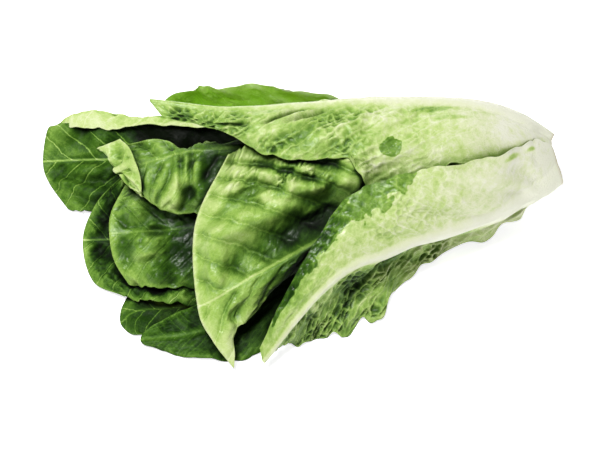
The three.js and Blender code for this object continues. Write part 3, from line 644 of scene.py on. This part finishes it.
def vein_pattern(tree, plan, lateral, swaying):
    """How far a place is from the laterals, the coarse net and the fine net, and its sway."""
    sway = add(tree, "ShaderNodeTexNoise", {
        "Vector": plan, "Scale": scale_of(SWAY_CELL), "Detail": 4.0, "Roughness": 0.6},
        noise_dimensions="2D")
    moved = add(tree, "ShaderNodeVectorMath", {0: sway.outputs["Color"], 1: (0.5, 0.5, 0.5)},
                operation="SUBTRACT")
    moved = add(tree, "ShaderNodeVectorMath", {0: moved, 1: (SWAY_REACH, SWAY_REACH, 0.0),
                                               2: plan}, operation="MULTIPLY_ADD")
    longer = add(tree, "ShaderNodeVectorMath", {0: moved, 1: (1.0, NET_STRETCH, 1.0)},
                 operation="MULTIPLY")
    to_net, to_fine = (
        add(tree, "ShaderNodeTexVoronoi", {
            "Vector": longer, "Randomness": 1.0, "Scale": scale_of(cell)},
            voronoi_dimensions="2D", feature="DISTANCE_TO_EDGE")
        for cell in (NET_CELL, FINE_CELL))
    swayed = add(tree, "ShaderNodeMath", {0: sway, 1: swaying, 2: lateral},
                 operation="MULTIPLY_ADD")
    to_lateral = add(tree, "ShaderNodeMath", {0: swayed, 1: 0.5}, operation="PINGPONG")
    return to_lateral, to_net, to_fine, swayed


VEIN_HEIGHT = 0.7
HEIGHTS = ("Vein Height", "Blister Height", "Pleat Height", "Fold Height", "Crumple Height")
VEIN_TOP, VEIN_FOOT = 0.6 * VEIN_HALF, 4 * VEIN_HALF  # where a raised vein's side starts and ends
DOME = 0.34  # how far from the net a blister is at its full height, in cells
PATCHY_CELL = 23.8095  # between places with high blisters
FOLD_RUN, FOLD_SCALE = 45.4545, 0.55  # a fold's length outwards, and how many to a lateral
CRUMPLE_CELL = 19.2308  # between crumples


def blister_tree():
    """Geometry nodes that raise a leaf's veins, fold it, and puff the green between its veins."""
    tree = bpy.data.node_groups.new("veins_and_blisters", "GeometryNodeTree")
    tree.interface.new_socket("Geometry", in_out="INPUT", socket_type="NodeSocketGeometry")
    for name in (*HEIGHTS, "Lateral Sway"):
        tree.interface.new_socket(name, in_out="INPUT", socket_type="NodeSocketFloat")
    tree.interface.new_socket("Material", in_out="INPUT", socket_type="NodeSocketMaterial")
    tree.interface.new_socket("Geometry", in_out="OUTPUT", socket_type="NodeSocketGeometry")
    given = add(tree, "NodeGroupInput").outputs
    plan, outward, lateral, relief = (
        add(tree, "GeometryNodeInputNamedAttribute", {"Name": name}, data_type=kind).outputs[0]
        for name, kind in (("plan", "FLOAT_VECTOR"), ("outward", "FLOAT_VECTOR"),
                           ("lateral", "FLOAT"), ("relief", "FLOAT")))
    to_lateral, to_net, _, swayed = vein_pattern(tree, plan, lateral, given["Lateral Sway"])
    raised = add(tree, "ShaderNodeMapRange", {
        "Value": to_lateral, 1: VEIN_TOP, 2: VEIN_FOOT, 3: 1.0, 4: 0.0},
        interpolation_type="SMOOTHSTEP")
    off_vein = add(tree, "ShaderNodeMath", {0: 1.0, 1: raised}, operation="SUBTRACT")

    # Blisters: domes between the veins of the net, high in some places and nearly gone in others.
    domes = add(tree, "ShaderNodeMapRange", {"Value": to_net, 1: 0.0, 2: DOME},
                interpolation_type="SMOOTHSTEP")
    patchy = add(tree, "ShaderNodeTexNoise", {
        "Vector": plan, "Scale": scale_of(PATCHY_CELL), "Detail": 1.0}, noise_dimensions="2D")
    patchy = add(tree, "ShaderNodeMapRange", {"Value": patchy, 1: 0.36, 2: 0.66, 3: 0.1, 4: 1.0})
    puffed = add(tree, "ShaderNodeMath", {0: domes, 1: patchy}, operation="MULTIPLY")
    puffed = add(tree, "ShaderNodeMath", {0: puffed, 1: off_vein}, operation="MULTIPLY")
    puffed = add(tree, "ShaderNodeMath", {0: puffed, 1: given["Blister Height"]},
                 operation="MULTIPLY")
    rise = add(tree, "ShaderNodeMath", {0: raised, 1: given["Vein Height"]}, operation="MULTIPLY")
    rise = add(tree, "ShaderNodeMath", {0: rise, 1: puffed}, operation="SUBTRACT")

    # Pleats lie between the laterals, folds run with them, and crumples run any way.
    pleat = add(tree, "ShaderNodeMapRange", {"Value": to_lateral, 1: 0.0, 2: 0.5, 3: -0.5,
                                             4: 0.5}, interpolation_type="SMOOTHSTEP")
    rise = add(tree, "ShaderNodeMath", {0: pleat, 1: given["Pleat Height"], 2: rise},
               operation="MULTIPLY_ADD")
    across = add(tree, "ShaderNodeSeparateXYZ", {0: plan})
    across = add(tree, "ShaderNodeMath", {0: across, 1: scale_of(FOLD_RUN)},
                 operation="MULTIPLY")
    fan = add(tree, "ShaderNodeCombineXYZ", {0: swayed, 1: across})
    folds = add(tree, "ShaderNodeTexNoise", {"Vector": fan, "Scale": FOLD_SCALE, "Detail": 1.5},
                noise_dimensions="2D")
    crumples = add(tree, "ShaderNodeTexNoise", {
        "Vector": plan, "Scale": scale_of(CRUMPLE_CELL), "Detail": 2.5}, noise_dimensions="2D")
    for waves, height in ((folds, "Fold Height"), (crumples, "Crumple Height")):
        wave = add(tree, "ShaderNodeMath", {0: waves, 1: 0.5}, operation="SUBTRACT")
        rise = add(tree, "ShaderNodeMath", {0: wave, 1: given[height], 2: rise},
                   operation="MULTIPLY_ADD")
    rise = add(tree, "ShaderNodeMath", {0: rise, 1: relief}, operation="MULTIPLY")
    shift = add(tree, "ShaderNodeVectorMath", {0: outward, "Scale": rise}, operation="SCALE")
    kept = add(tree, "GeometryNodeStoreNamedAttribute", {
        "Geometry": given["Geometry"], "Name": "rise", "Value": rise},
        data_type="FLOAT", domain="POINT")
    bent = add(tree, "GeometryNodeSetPosition", {"Geometry": kept, "Offset": shift})

    # Nothing goes through the table.
    spot = add(tree, "GeometryNodeInputPosition")
    spot = add(tree, "ShaderNodeSeparateXYZ", {0: spot}).outputs
    above = add(tree, "ShaderNodeMath", {0: spot[2], 1: 0.0}, operation="MAXIMUM")
    spot = add(tree, "ShaderNodeCombineXYZ", {0: spot[0], 1: spot[1], 2: above})
    bent = add(tree, "GeometryNodeSetPosition", {"Geometry": bent, "Position": spot})
    whole = add(tree, "GeometryNodeRealizeInstances", {0: bent})
    dressed = add(tree, "GeometryNodeSetMaterial", {"Geometry": whole,
                                                    "Material": given["Material"]})
    add(tree, "NodeGroupOutput", {0: dressed})
    return tree


# The last stop, past 1, is near black: painted shade for places deep between leaves.
GREENS = [(0.0, "#f0f1dc"), (0.16, "#e3e9be"), (0.34, "#c6d98b"), (0.5, "#9dbf5a"),
          (0.66, "#6f9639"), (0.82, "#42691c"), (1.0, "#1f3c0e"), (1.25, "#070e04")]
DARKEST = GREENS[-1][0]
LIT_THROUGH = "#b4e04a"  # what light turns to on its way through a leaf
DRIED_TAN = "#a9793c"
DRIED = 0.003  # how far up from the knife cut, in metres, a base is dried to tan
BLOTCH_CELL = 13.3333  # between blotches of lighter and darker green
MOTTLE_CELL = 4.1667  # between finer ones
STREAK_RUN, STREAK_SCALE = 83.3333, 5.0  # streaks along the laterals, as the folds
FRAY_CELL = 7.1429  # between the notches in a dark patch's edge
FRAY = (1.18, 1.28)  # where its edge is cut off, sharply
SHEEN_CELL = 8.3333  # between wetter and drier skin
SKIN_GRAIN = 1.1111  # the grain of the skin, coarser than its cells so that it shows
RIB_FIBRE = 1.4286  # between the fibres that are drawn along a rib
FIBRE_DRAWN = 0.06  # under 1, they are longer than wide
# Painted shade and light from the relief: greener in hollows, paler on the tops of folds.
HOLLOW_SHADE_GREEN = 90.0  # how much greener the tissue is for each metre that it lies in a hollow
# Painted shade from occlusion: how far it reaches, and how it darkens and greens the colour.
SHADE_REACH = 0.04  # how far off, in metres, another leaf still shades a place
SHADE = (0.12, 0.8)  # how open a place is that is shaded fully, and not at all
SHADE_GREEN = 0.4  # how much greener the tissue is where it is shaded fully
DULLER = 0.8  # and how much rougher, where it never dries
ON_OUTER = 0.7  # how much fainter the laterals' colour is on the outer face
NET_TONE, FINE_TONE, DEEP_TONE = -0.05, -0.04, 0.31  # how much greener the nets and patches are
RIB_TONE = 0.9  # how much less green a fully cream rib is
DEEP_SMOOTHER = 0.22  # how much smoother, and so glossier, a dark patch is


def leaf_material(name, swaying, roughness, wax, glow, relief, blotched, mottled, streaked,
                  shut, gloss, vein_tone):
    """Lettuce leaf: wet living tissue under a thin wax, so that light partly comes through.

    glow is how much does. blotched, mottled and streaked are how far its green varies, shut is
    how bright its painted shade leaves it deep between leaves, and vein_tone how much greener its
    veins are. Its colour also carries painted shade in hollows and painted light on the tops of
    folds.
    """
    material = bpy.data.materials.new(name)
    material.use_nodes = True
    tree = material.node_tree
    tree.nodes.clear()
    read = {kind: add(tree, "ShaderNodeAttribute", attribute_name=kind).outputs["Fac"]
            for kind in ("lateral", "rib", "pale_rib", "green", "margin", "deep", "outer_face",
                         "rise")}
    plan = add(tree, "ShaderNodeAttribute", attribute_name="plan").outputs["Vector"]
    to_lateral, to_net, to_fine, swayed = vein_pattern(tree, plan, read["lateral"], swaying)

    # Veins are pale lines: a lateral thins towards the margin, and the nets are finer still.
    half = add(tree, "ShaderNodeMapRange", {"Value": read["margin"], 1: 0.0, 2: 1.0,
                                            3: VEIN_HALF * 0.5, 4: VEIN_HALF * 2})
    on_lateral = add(tree, "ShaderNodeMapRange", {"Value": to_lateral, 1: half, 2: 0.0, 3: 0.0,
                                                  4: 1.0})
    fainter = add(tree, "ShaderNodeMath", {0: read["outer_face"], 1: -ON_OUTER, 2: 1.0},
                  operation="MULTIPLY_ADD")
    on_lateral = add(tree, "ShaderNodeMath", {0: on_lateral, 1: fainter}, operation="MULTIPLY")
    on_net, on_fine = (
        add(tree, "ShaderNodeMapRange", {"Value": off, 1: 0.0, 2: wide, 3: 1.0, 4: 0.0},
            interpolation_type="SMOOTHSTEP")
        for off, wide in ((to_net, 0.09), (to_fine, 0.2)))

    # Its green varies from place to place, and along the laterals.
    blotch = add(tree, "ShaderNodeTexNoise", {
        "Vector": plan, "Scale": scale_of(BLOTCH_CELL), "Detail": 5.0, "Roughness": 0.62},
        noise_dimensions="2D")
    mottle = add(tree, "ShaderNodeTexNoise", {
        "Vector": plan, "Scale": scale_of(MOTTLE_CELL), "Detail": 2.0}, noise_dimensions="2D")
    parts = add(tree, "ShaderNodeSeparateXYZ", {0: plan}).outputs
    across = add(tree, "ShaderNodeMath", {0: parts[0], 1: scale_of(STREAK_RUN)},
                 operation="MULTIPLY")
    fan = add(tree, "ShaderNodeCombineXYZ", {0: swayed, 1: across})
    streak = add(tree, "ShaderNodeTexNoise", {"Vector": fan, "Scale": STREAK_SCALE,
                                              "Detail": 2.5}, noise_dimensions="2D")
    green = add(tree, "ShaderNodeMath", {
        0: read["green"], 1: (blotched + mottled + streaked) / 2}, operation="SUBTRACT")

    # Painted shade and painted light that follow the relief: darker green in the hollows, and
    # paler on the tops of folds.
    facing = add(tree, "ShaderNodeMath", {0: read["outer_face"], 1: -2.0, 2: 1.0},
                 operation="MULTIPLY_ADD")
    hollow_shade = add(tree, "ShaderNodeMath", {0: facing, 1: read["rise"]}, operation="MULTIPLY")

    # The dark patches have frayed edges.
    ragged = add(tree, "ShaderNodeTexNoise", {
        "Vector": plan, "Scale": scale_of(FRAY_CELL), "Detail": 2.0}, noise_dimensions="2D")
    frayed = add(tree, "ShaderNodeMath", {0: ragged, 1: 1.4, 2: read["deep"]},
                 operation="MULTIPLY_ADD")
    deep = add(tree, "ShaderNodeMapRange", {"Value": frayed, 1: FRAY[0], 2: FRAY[1], 3: 0.0,
                                            4: 1.0})

    # Painted shade: where other leaves lie close, occlusion makes the colour darker and greener.
    open_to = add(tree, "ShaderNodeAmbientOcclusion", {"Distance": SHADE_REACH}, samples=8)
    bright = add(tree, "ShaderNodeMapRange", {"Value": open_to.outputs["AO"], 1: SHADE[0],
                                              2: SHADE[1], 3: shut, 4: 1.0})
    shaded = add(tree, "ShaderNodeMath", {0: 1.0, 1: bright}, operation="SUBTRACT")
    for mark, greener in ((blotch, blotched), (mottle, mottled), (streak, streaked),
                          (hollow_shade, HOLLOW_SHADE_GREEN), (on_lateral, vein_tone), (on_net, NET_TONE),
                          (on_fine, FINE_TONE), (deep, DEEP_TONE), (shaded, SHADE_GREEN)):
        green = add(tree, "ShaderNodeMath", {0: mark, 1: greener, 2: green},
                    operation="MULTIPLY_ADD")

    # The rib is broad and cream on the outer face, and a thin pale line on the inner one.
    broad, thin = (
        add(tree, "ShaderNodeMapRange", {"Value": read["rib"], 1: full, 2: gone, 3: 1.0, 4: 0.0},
            interpolation_type="SMOOTHSTEP")
        for full, gone in ((0.6, 1.3), (0.15, 0.6)))
    broad = add(tree, "ShaderNodeMath", {0: broad, 1: read["outer_face"]}, operation="MULTIPLY")
    broad, thin = (
        add(tree, "ShaderNodeMath", {0: line, 1: read["pale_rib"]}, operation="MULTIPLY")
        for line in (broad, thin))
    green = add(tree, "ShaderNodeMath", {0: thin, 1: vein_tone * 1.5, 2: green},
                operation="MULTIPLY_ADD")
    left = add(tree, "ShaderNodeMath", {0: broad, 1: -RIB_TONE / DARKEST, 2: 1 / DARKEST},
               operation="MULTIPLY_ADD")
    green = add(tree, "ShaderNodeMath", {0: green, 1: left}, operation="MULTIPLY",
                use_clamp=True)
    shades = add(tree, "ShaderNodeValToRGB", {0: green})
    ramp = shades.color_ramp
    while len(ramp.elements) < len(GREENS):
        ramp.elements.new(0.5)
    for stop, (at, code) in zip(ramp.elements, GREENS):
        stop.position = at / DARKEST
        stop.color = colour(code)

    # The cut across the base has dried to tan, here and there.
    dried = add(tree, "ShaderNodeMapRange", {"Value": parts[1], 1: 0.0, 2: DRIED, 3: 0.8,
                                             4: 0.0})
    dried = add(tree, "ShaderNodeMath", {0: dried, 1: blotch}, operation="MULTIPLY")
    tint = add(tree, "ShaderNodeMix", {0: dried, 6: shades, 7: colour(DRIED_TAN)},
               data_type="RGBA")
    # Painted shade: the colour is darkened where other leaves lie close.
    tint = add(tree, "ShaderNodeVectorMath", {0: tint.outputs[2], "Scale": bright},
               operation="SCALE")

    # Fine veins stand proud of a faintly grained skin, and ribs are drawn lengthwise.
    height = add(tree, "ShaderNodeTexNoise", {
        "Vector": plan, "Scale": scale_of(SKIN_GRAIN), "Detail": 2.0}, noise_dimensions="2D")
    drawn = add(tree, "ShaderNodeVectorMath", {0: plan, 1: (1.0, FIBRE_DRAWN, 1.0)},
                operation="MULTIPLY")
    fibres = add(tree, "ShaderNodeTexNoise", {
        "Vector": drawn, "Scale": scale_of(RIB_FIBRE), "Detail": 3.0}, noise_dimensions="2D")
    for mark, proud in ((on_fine, 0.5), (on_net, 0.6), (fibres, 0.9)):
        height = add(tree, "ShaderNodeMath", {0: mark, 1: proud, 2: height},
                     operation="MULTIPLY_ADD")
    bump = add(tree, "ShaderNodeBump", {"Strength": relief, "Distance": BUMP_DEPTH,
                                        "Height": height})
    sheen = add(tree, "ShaderNodeTexNoise", {
        "Vector": plan, "Scale": scale_of(SHEEN_CELL), "Detail": 3.0}, noise_dimensions="2D")
    rough = add(tree, "ShaderNodeMapRange", {"Value": sheen, 1: 0.3, 2: 0.7, 3: roughness - 0.1,
                                             4: roughness + 0.1})
    for mark, rougher in ((deep, -DEEP_SMOOTHER), (shaded, DULLER)):
        rough = add(tree, "ShaderNodeMath", {0: mark, 1: rougher, 2: rough},
                    operation="MULTIPLY_ADD")
    skin = add(tree, "ShaderNodeBsdfPrincipled", {
        "Base Color": tint, "Roughness": rough, "IOR": TISSUE_IOR, "Specular IOR Level": gloss,
        "Coat Weight": wax, "Coat Roughness": 0.2, "Normal": bump})
    lit = add(tree, "ShaderNodeMix", {0: 0.6, 6: tint, 7: colour(LIT_THROUGH)},
              data_type="RGBA")
    through = add(tree, "ShaderNodeBsdfTranslucent", {"Color": lit.outputs[2], "Normal": bump})
    both = add(tree, "ShaderNodeMixShader", {0: glow, 1: skin, 2: through})
    add(tree, "ShaderNodeOutputMaterial", {"Surface": both})
    return material


def grow_leaf(leaf, slot, material):
    """One leaf: its sheet, its veins and blisters made real, riding on the head."""
    leaf = {**USUAL, **leaf}
    points, faces, fields = leaf_sheet(leaf)
    mesh = bpy.data.meshes.new(leaf["name"] + "_sheet")
    mesh.from_pydata((points * MILLIMETRE).tolist(), [], faces)
    for name, values in fields.items():
        kind, field = (("FLOAT_VECTOR", "vector") if values.ndim == 2 else ("FLOAT", "value"))
        held = mesh.attributes.new(name, kind, "POINT")
        held.data.foreach_set(field, values.astype(np.float32).ravel())
    sheet = bpy.data.objects.new(leaf["name"] + "_sheet", mesh)
    bpy.context.scene.collection.objects.link(sheet)
    maker = sheet.modifiers.new("veins", "NODES")
    maker.node_group = veins_and_blisters
    inputs = {item.name: item.identifier for item in veins_and_blisters.interface.items_tree
              if item.in_out == "INPUT"}
    maker[inputs["Material"]] = material
    for name, height in zip(HEIGHTS, [VEIN_HEIGHT, *leaf["heights"]]):
        maker[inputs[name]] = height * MILLIMETRE
    maker[inputs["Lateral Sway"]] = SWAYS[slot]
    seen = sheet.evaluated_get(bpy.context.evaluated_depsgraph_get())
    grown = bpy.data.meshes.new_from_object(seen)
    bpy.data.objects.remove(sheet)
    grown.name = leaf["name"]
    grown.attributes.remove(grown.attributes["outward"])
    grown.polygons.foreach_set("use_smooth", np.ones(len(grown.polygons), bool))
    piece = bpy.data.objects.new(leaf["name"], grown)
    bpy.context.scene.collection.objects.link(piece)
    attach(piece, "root")
    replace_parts(piece, leaf["node"])


veins_and_blisters = blister_tree()

# Thick old leaves under a bloom of wax, which gives a broad soft shine on milky green.
outer_skin = leaf_material("waxy_outer_leaf", SWAYS["outer_leaf"], roughness=0.4, wax=0.12,
                           glow=0.14, relief=0.4, blotched=0.4, mottled=0.3, streaked=0.1,
                           shut=0.15, gloss=0.42, vein_tone=-0.2)
# Inner leaves that face the light: hardly any wax yet, so smooth wet green with small glints.
inner_skin = leaf_material("glossy_inner_leaf", SWAYS["inner_leaf"], roughness=0.3, wax=0.05,
                           glow=0.1, relief=0.3, blotched=0.25, mottled=0.1, streaked=0.12,
                           shut=0.06, gloss=0.3, vein_tone=-0.13)
# Inner leaves that face away from the light: matt dark green, with clearly drawn pale veins. Their
# dark green comes from their tables, partly their own and partly painted shade.
dark_skin = leaf_material("deep_green_leaf", SWAYS["inner_leaf"], roughness=0.42, wax=0.0,
                          glow=0.06, relief=0.3, blotched=0.3, mottled=0.1, streaked=0.2,
                          shut=0.04, gloss=0.12, vein_tone=-0.34)
# A single thin leaf with nothing behind it, which the light comes through as yellow green.
backlit_skin = leaf_material("thin_outer_leaf", SWAYS["outer_leaf"], roughness=0.46, wax=0.08,
                             glow=0.75, relief=0.4, blotched=0.3, mottled=0.15, streaked=0.1,
                             shut=0.7, gloss=0.3, vein_tone=-0.2)
for leaf in OUTER_LEAVES:
    alone = leaf["name"] == "back_top_leaf"
    grow_leaf(leaf, "outer_leaf", backlit_skin if alone else outer_skin)
for leaf in INNER_LEAVES:
    lit = leaf["name"] in ("cupped_leaf", "folded_tip_leaf", "round_leaf")
    grow_leaf(leaf, "inner_leaf", inner_skin if lit else dark_skin)

# ---- The heart ----------------------------------------------------------------------------
# Three young leaves still furled one in the other in the middle of the head. They are tender,
# nearly free of blisters and pale yellow-green, because no light reaches them.
HEART_BODY = np.array([
    [108, 37, 27, 7],
    [94, 37, 31, 10.5],
    [78, 37, 38, 11],
    [66, 37, 41.5, 9],
    [56, 37, 44, 6],
    [48, 37, 45.5, 3.5],
], float)
YOUNG = {
    "body": HEART_BODY, "rows": [], "grid": [64, 36], "blade": 0.9,
    "scallops": [0.04, 0.04, 6], "ruffle": [0.5, 0.5, 3], "ridges": [0, 4],
    "blisters": [0.2, 0.2], "inner": [0.1, 0.17, 0.22, 0.34], "outer": [0.06, 0.13, 0.18, 0.3],
}
HEART_LEAVES = [
    {
        "name": "outer_heart_leaf", "node": "heart_leaf_outer", "index": 11, "share": 1,
        "turns": [-150, -40, 70], "rings": [106, 96, 85, 74, 64, 56, 49],
        "rib": [1, 0.5, 3, 1],
    },
    {
        "name": "middle_heart_leaf", "node": "heart_leaf_middle", "index": 12, "share": 0.72,
        "turns": [25, 130, 235], "rings": [106, 96, 86, 76, 67, 60, 54],
        "rib": [0.4, 0.3, 3, 1],
    },
    {
        "name": "inner_heart_leaf", "node": "heart_leaf_inner", "index": 13, "share": 0.45,
        "turns": [-130, -20, 90], "rings": [106, 97, 88, 79, 71, 65, 60],
        "rib": [0.4, 0.3, 2.5, 1], "ruffle": [0.3, 0.3, 3],
    },
]
# Tender leaves with next to no green in them: pale, softly shining and full of scattered light.
heart_skin = leaf_material("tender_heart_leaf", SWAYS["heart_leaf"], roughness=0.42, wax=0.1,
                           glow=0.3, relief=0.3, blotched=0.3, mottled=0.1, streaked=0.1,
                           shut=0.2, gloss=0.3, vein_tone=-0.1)
for leaf in HEART_LEAVES:
    grow_leaf({**YOUNG, **leaf}, "heart_leaf", heart_skin)

# ---- The table, the lights and the camera -------------------------------------------------
# A plain white sweep. The main light stands above the camera, a weak one fills in from the
# camera's side of the butt, and one above and behind the head comes through its thin leaves.
SWEEP = 6.0  # how far the table runs each way, in metres
TABLE_GLOW = 0.78  # keeps the table evenly white, with only faint shadows
WORLD_LIGHT = 0.06


def table_material():
    """Matt white paper: an even white with no shine."""
    material = bpy.data.materials.new("white_paper")
    material.use_nodes = True
    skin = material.node_tree.nodes["Principled BSDF"]
    skin.inputs["Base Color"].default_value = colour("#f6f6f6")
    skin.inputs["Roughness"].default_value = 0.9
    skin.inputs["Emission Color"].default_value = (1, 1, 1, 1)
    skin.inputs["Emission Strength"].default_value = TABLE_GLOW
    return material


corners = [(x * SWEEP, y * SWEEP, 0) for x, y in ((-1, -1), (1, -1), (1, 1), (-1, 1))]
floor_mesh = bpy.data.meshes.new("floor")
floor_mesh.from_pydata(corners, [], [(0, 1, 2, 3)])
floor_mesh.materials.append(table_material())
floor = bpy.data.objects.new("floor", floor_mesh)
bpy.context.scene.collection.objects.link(floor)

HEAD_MIDDLE = np.array([0.0, 0.001, 0.026])
LOOK = np.array([0.0, math.cos(FACE_LEAN), -math.sin(FACE_LEAN)])  # straight at the face
PICTURE_UP = np.array([0.0, math.sin(FACE_LEAN), math.cos(FACE_LEAN)])
TO_BUTT = np.array([1.0, 0.0, 0.0])


def aim(thing, spot, target):
    """Puts a light or camera at a spot, looking at a target."""
    thing.location = spot
    thing.rotation_mode = "QUATERNION"
    thing.rotation_quaternion = Vector(target - spot).to_track_quat("-Z", "Y")
    bpy.context.scene.collection.objects.link(thing)


def soft_light(name, toward, distance, size, watts):
    """A square soft light in a direction from the head."""
    light = bpy.data.lights.new(name, "AREA")
    light.size = size
    light.energy = watts
    toward = toward / np.linalg.norm(toward)
    aim(bpy.data.objects.new(name, light), HEAD_MIDDLE + toward * distance, HEAD_MIDDLE)


soft_light("main_light", PICTURE_UP * 0.45 - LOOK - TO_BUTT * 0.25, 1.2, 0.3, 17.0)
soft_light("end_fill", TO_BUTT * 0.8 - LOOK - PICTURE_UP * 0.2, 1.6, 0.6, 3.5)
soft_light("back_light", PICTURE_UP + LOOK * 0.25, 1.2, 0.4, 4.0)
world = bpy.data.worlds.new("studio")
world.use_nodes = True
world.node_tree.nodes["Background"].inputs[0].default_value = (1, 1, 1, 1)
world.node_tree.nodes["Background"].inputs[1].default_value = WORLD_LIGHT
bpy.context.scene.world = world
bpy.context.scene.view_settings.view_transform = "Standard"

CAMERA_DISTANCE = 1.454
lens = bpy.data.cameras.new("camera")
lens.lens = 150.0
lens.sensor_width = 36.0
lens.clip_start, lens.clip_end = 0.05, 20.0
camera = bpy.data.objects.new("camera", lens)
aim(camera, HEAD_MIDDLE - LOOK * CAMERA_DISTANCE, HEAD_MIDDLE)
bpy.context.scene.camera = camera
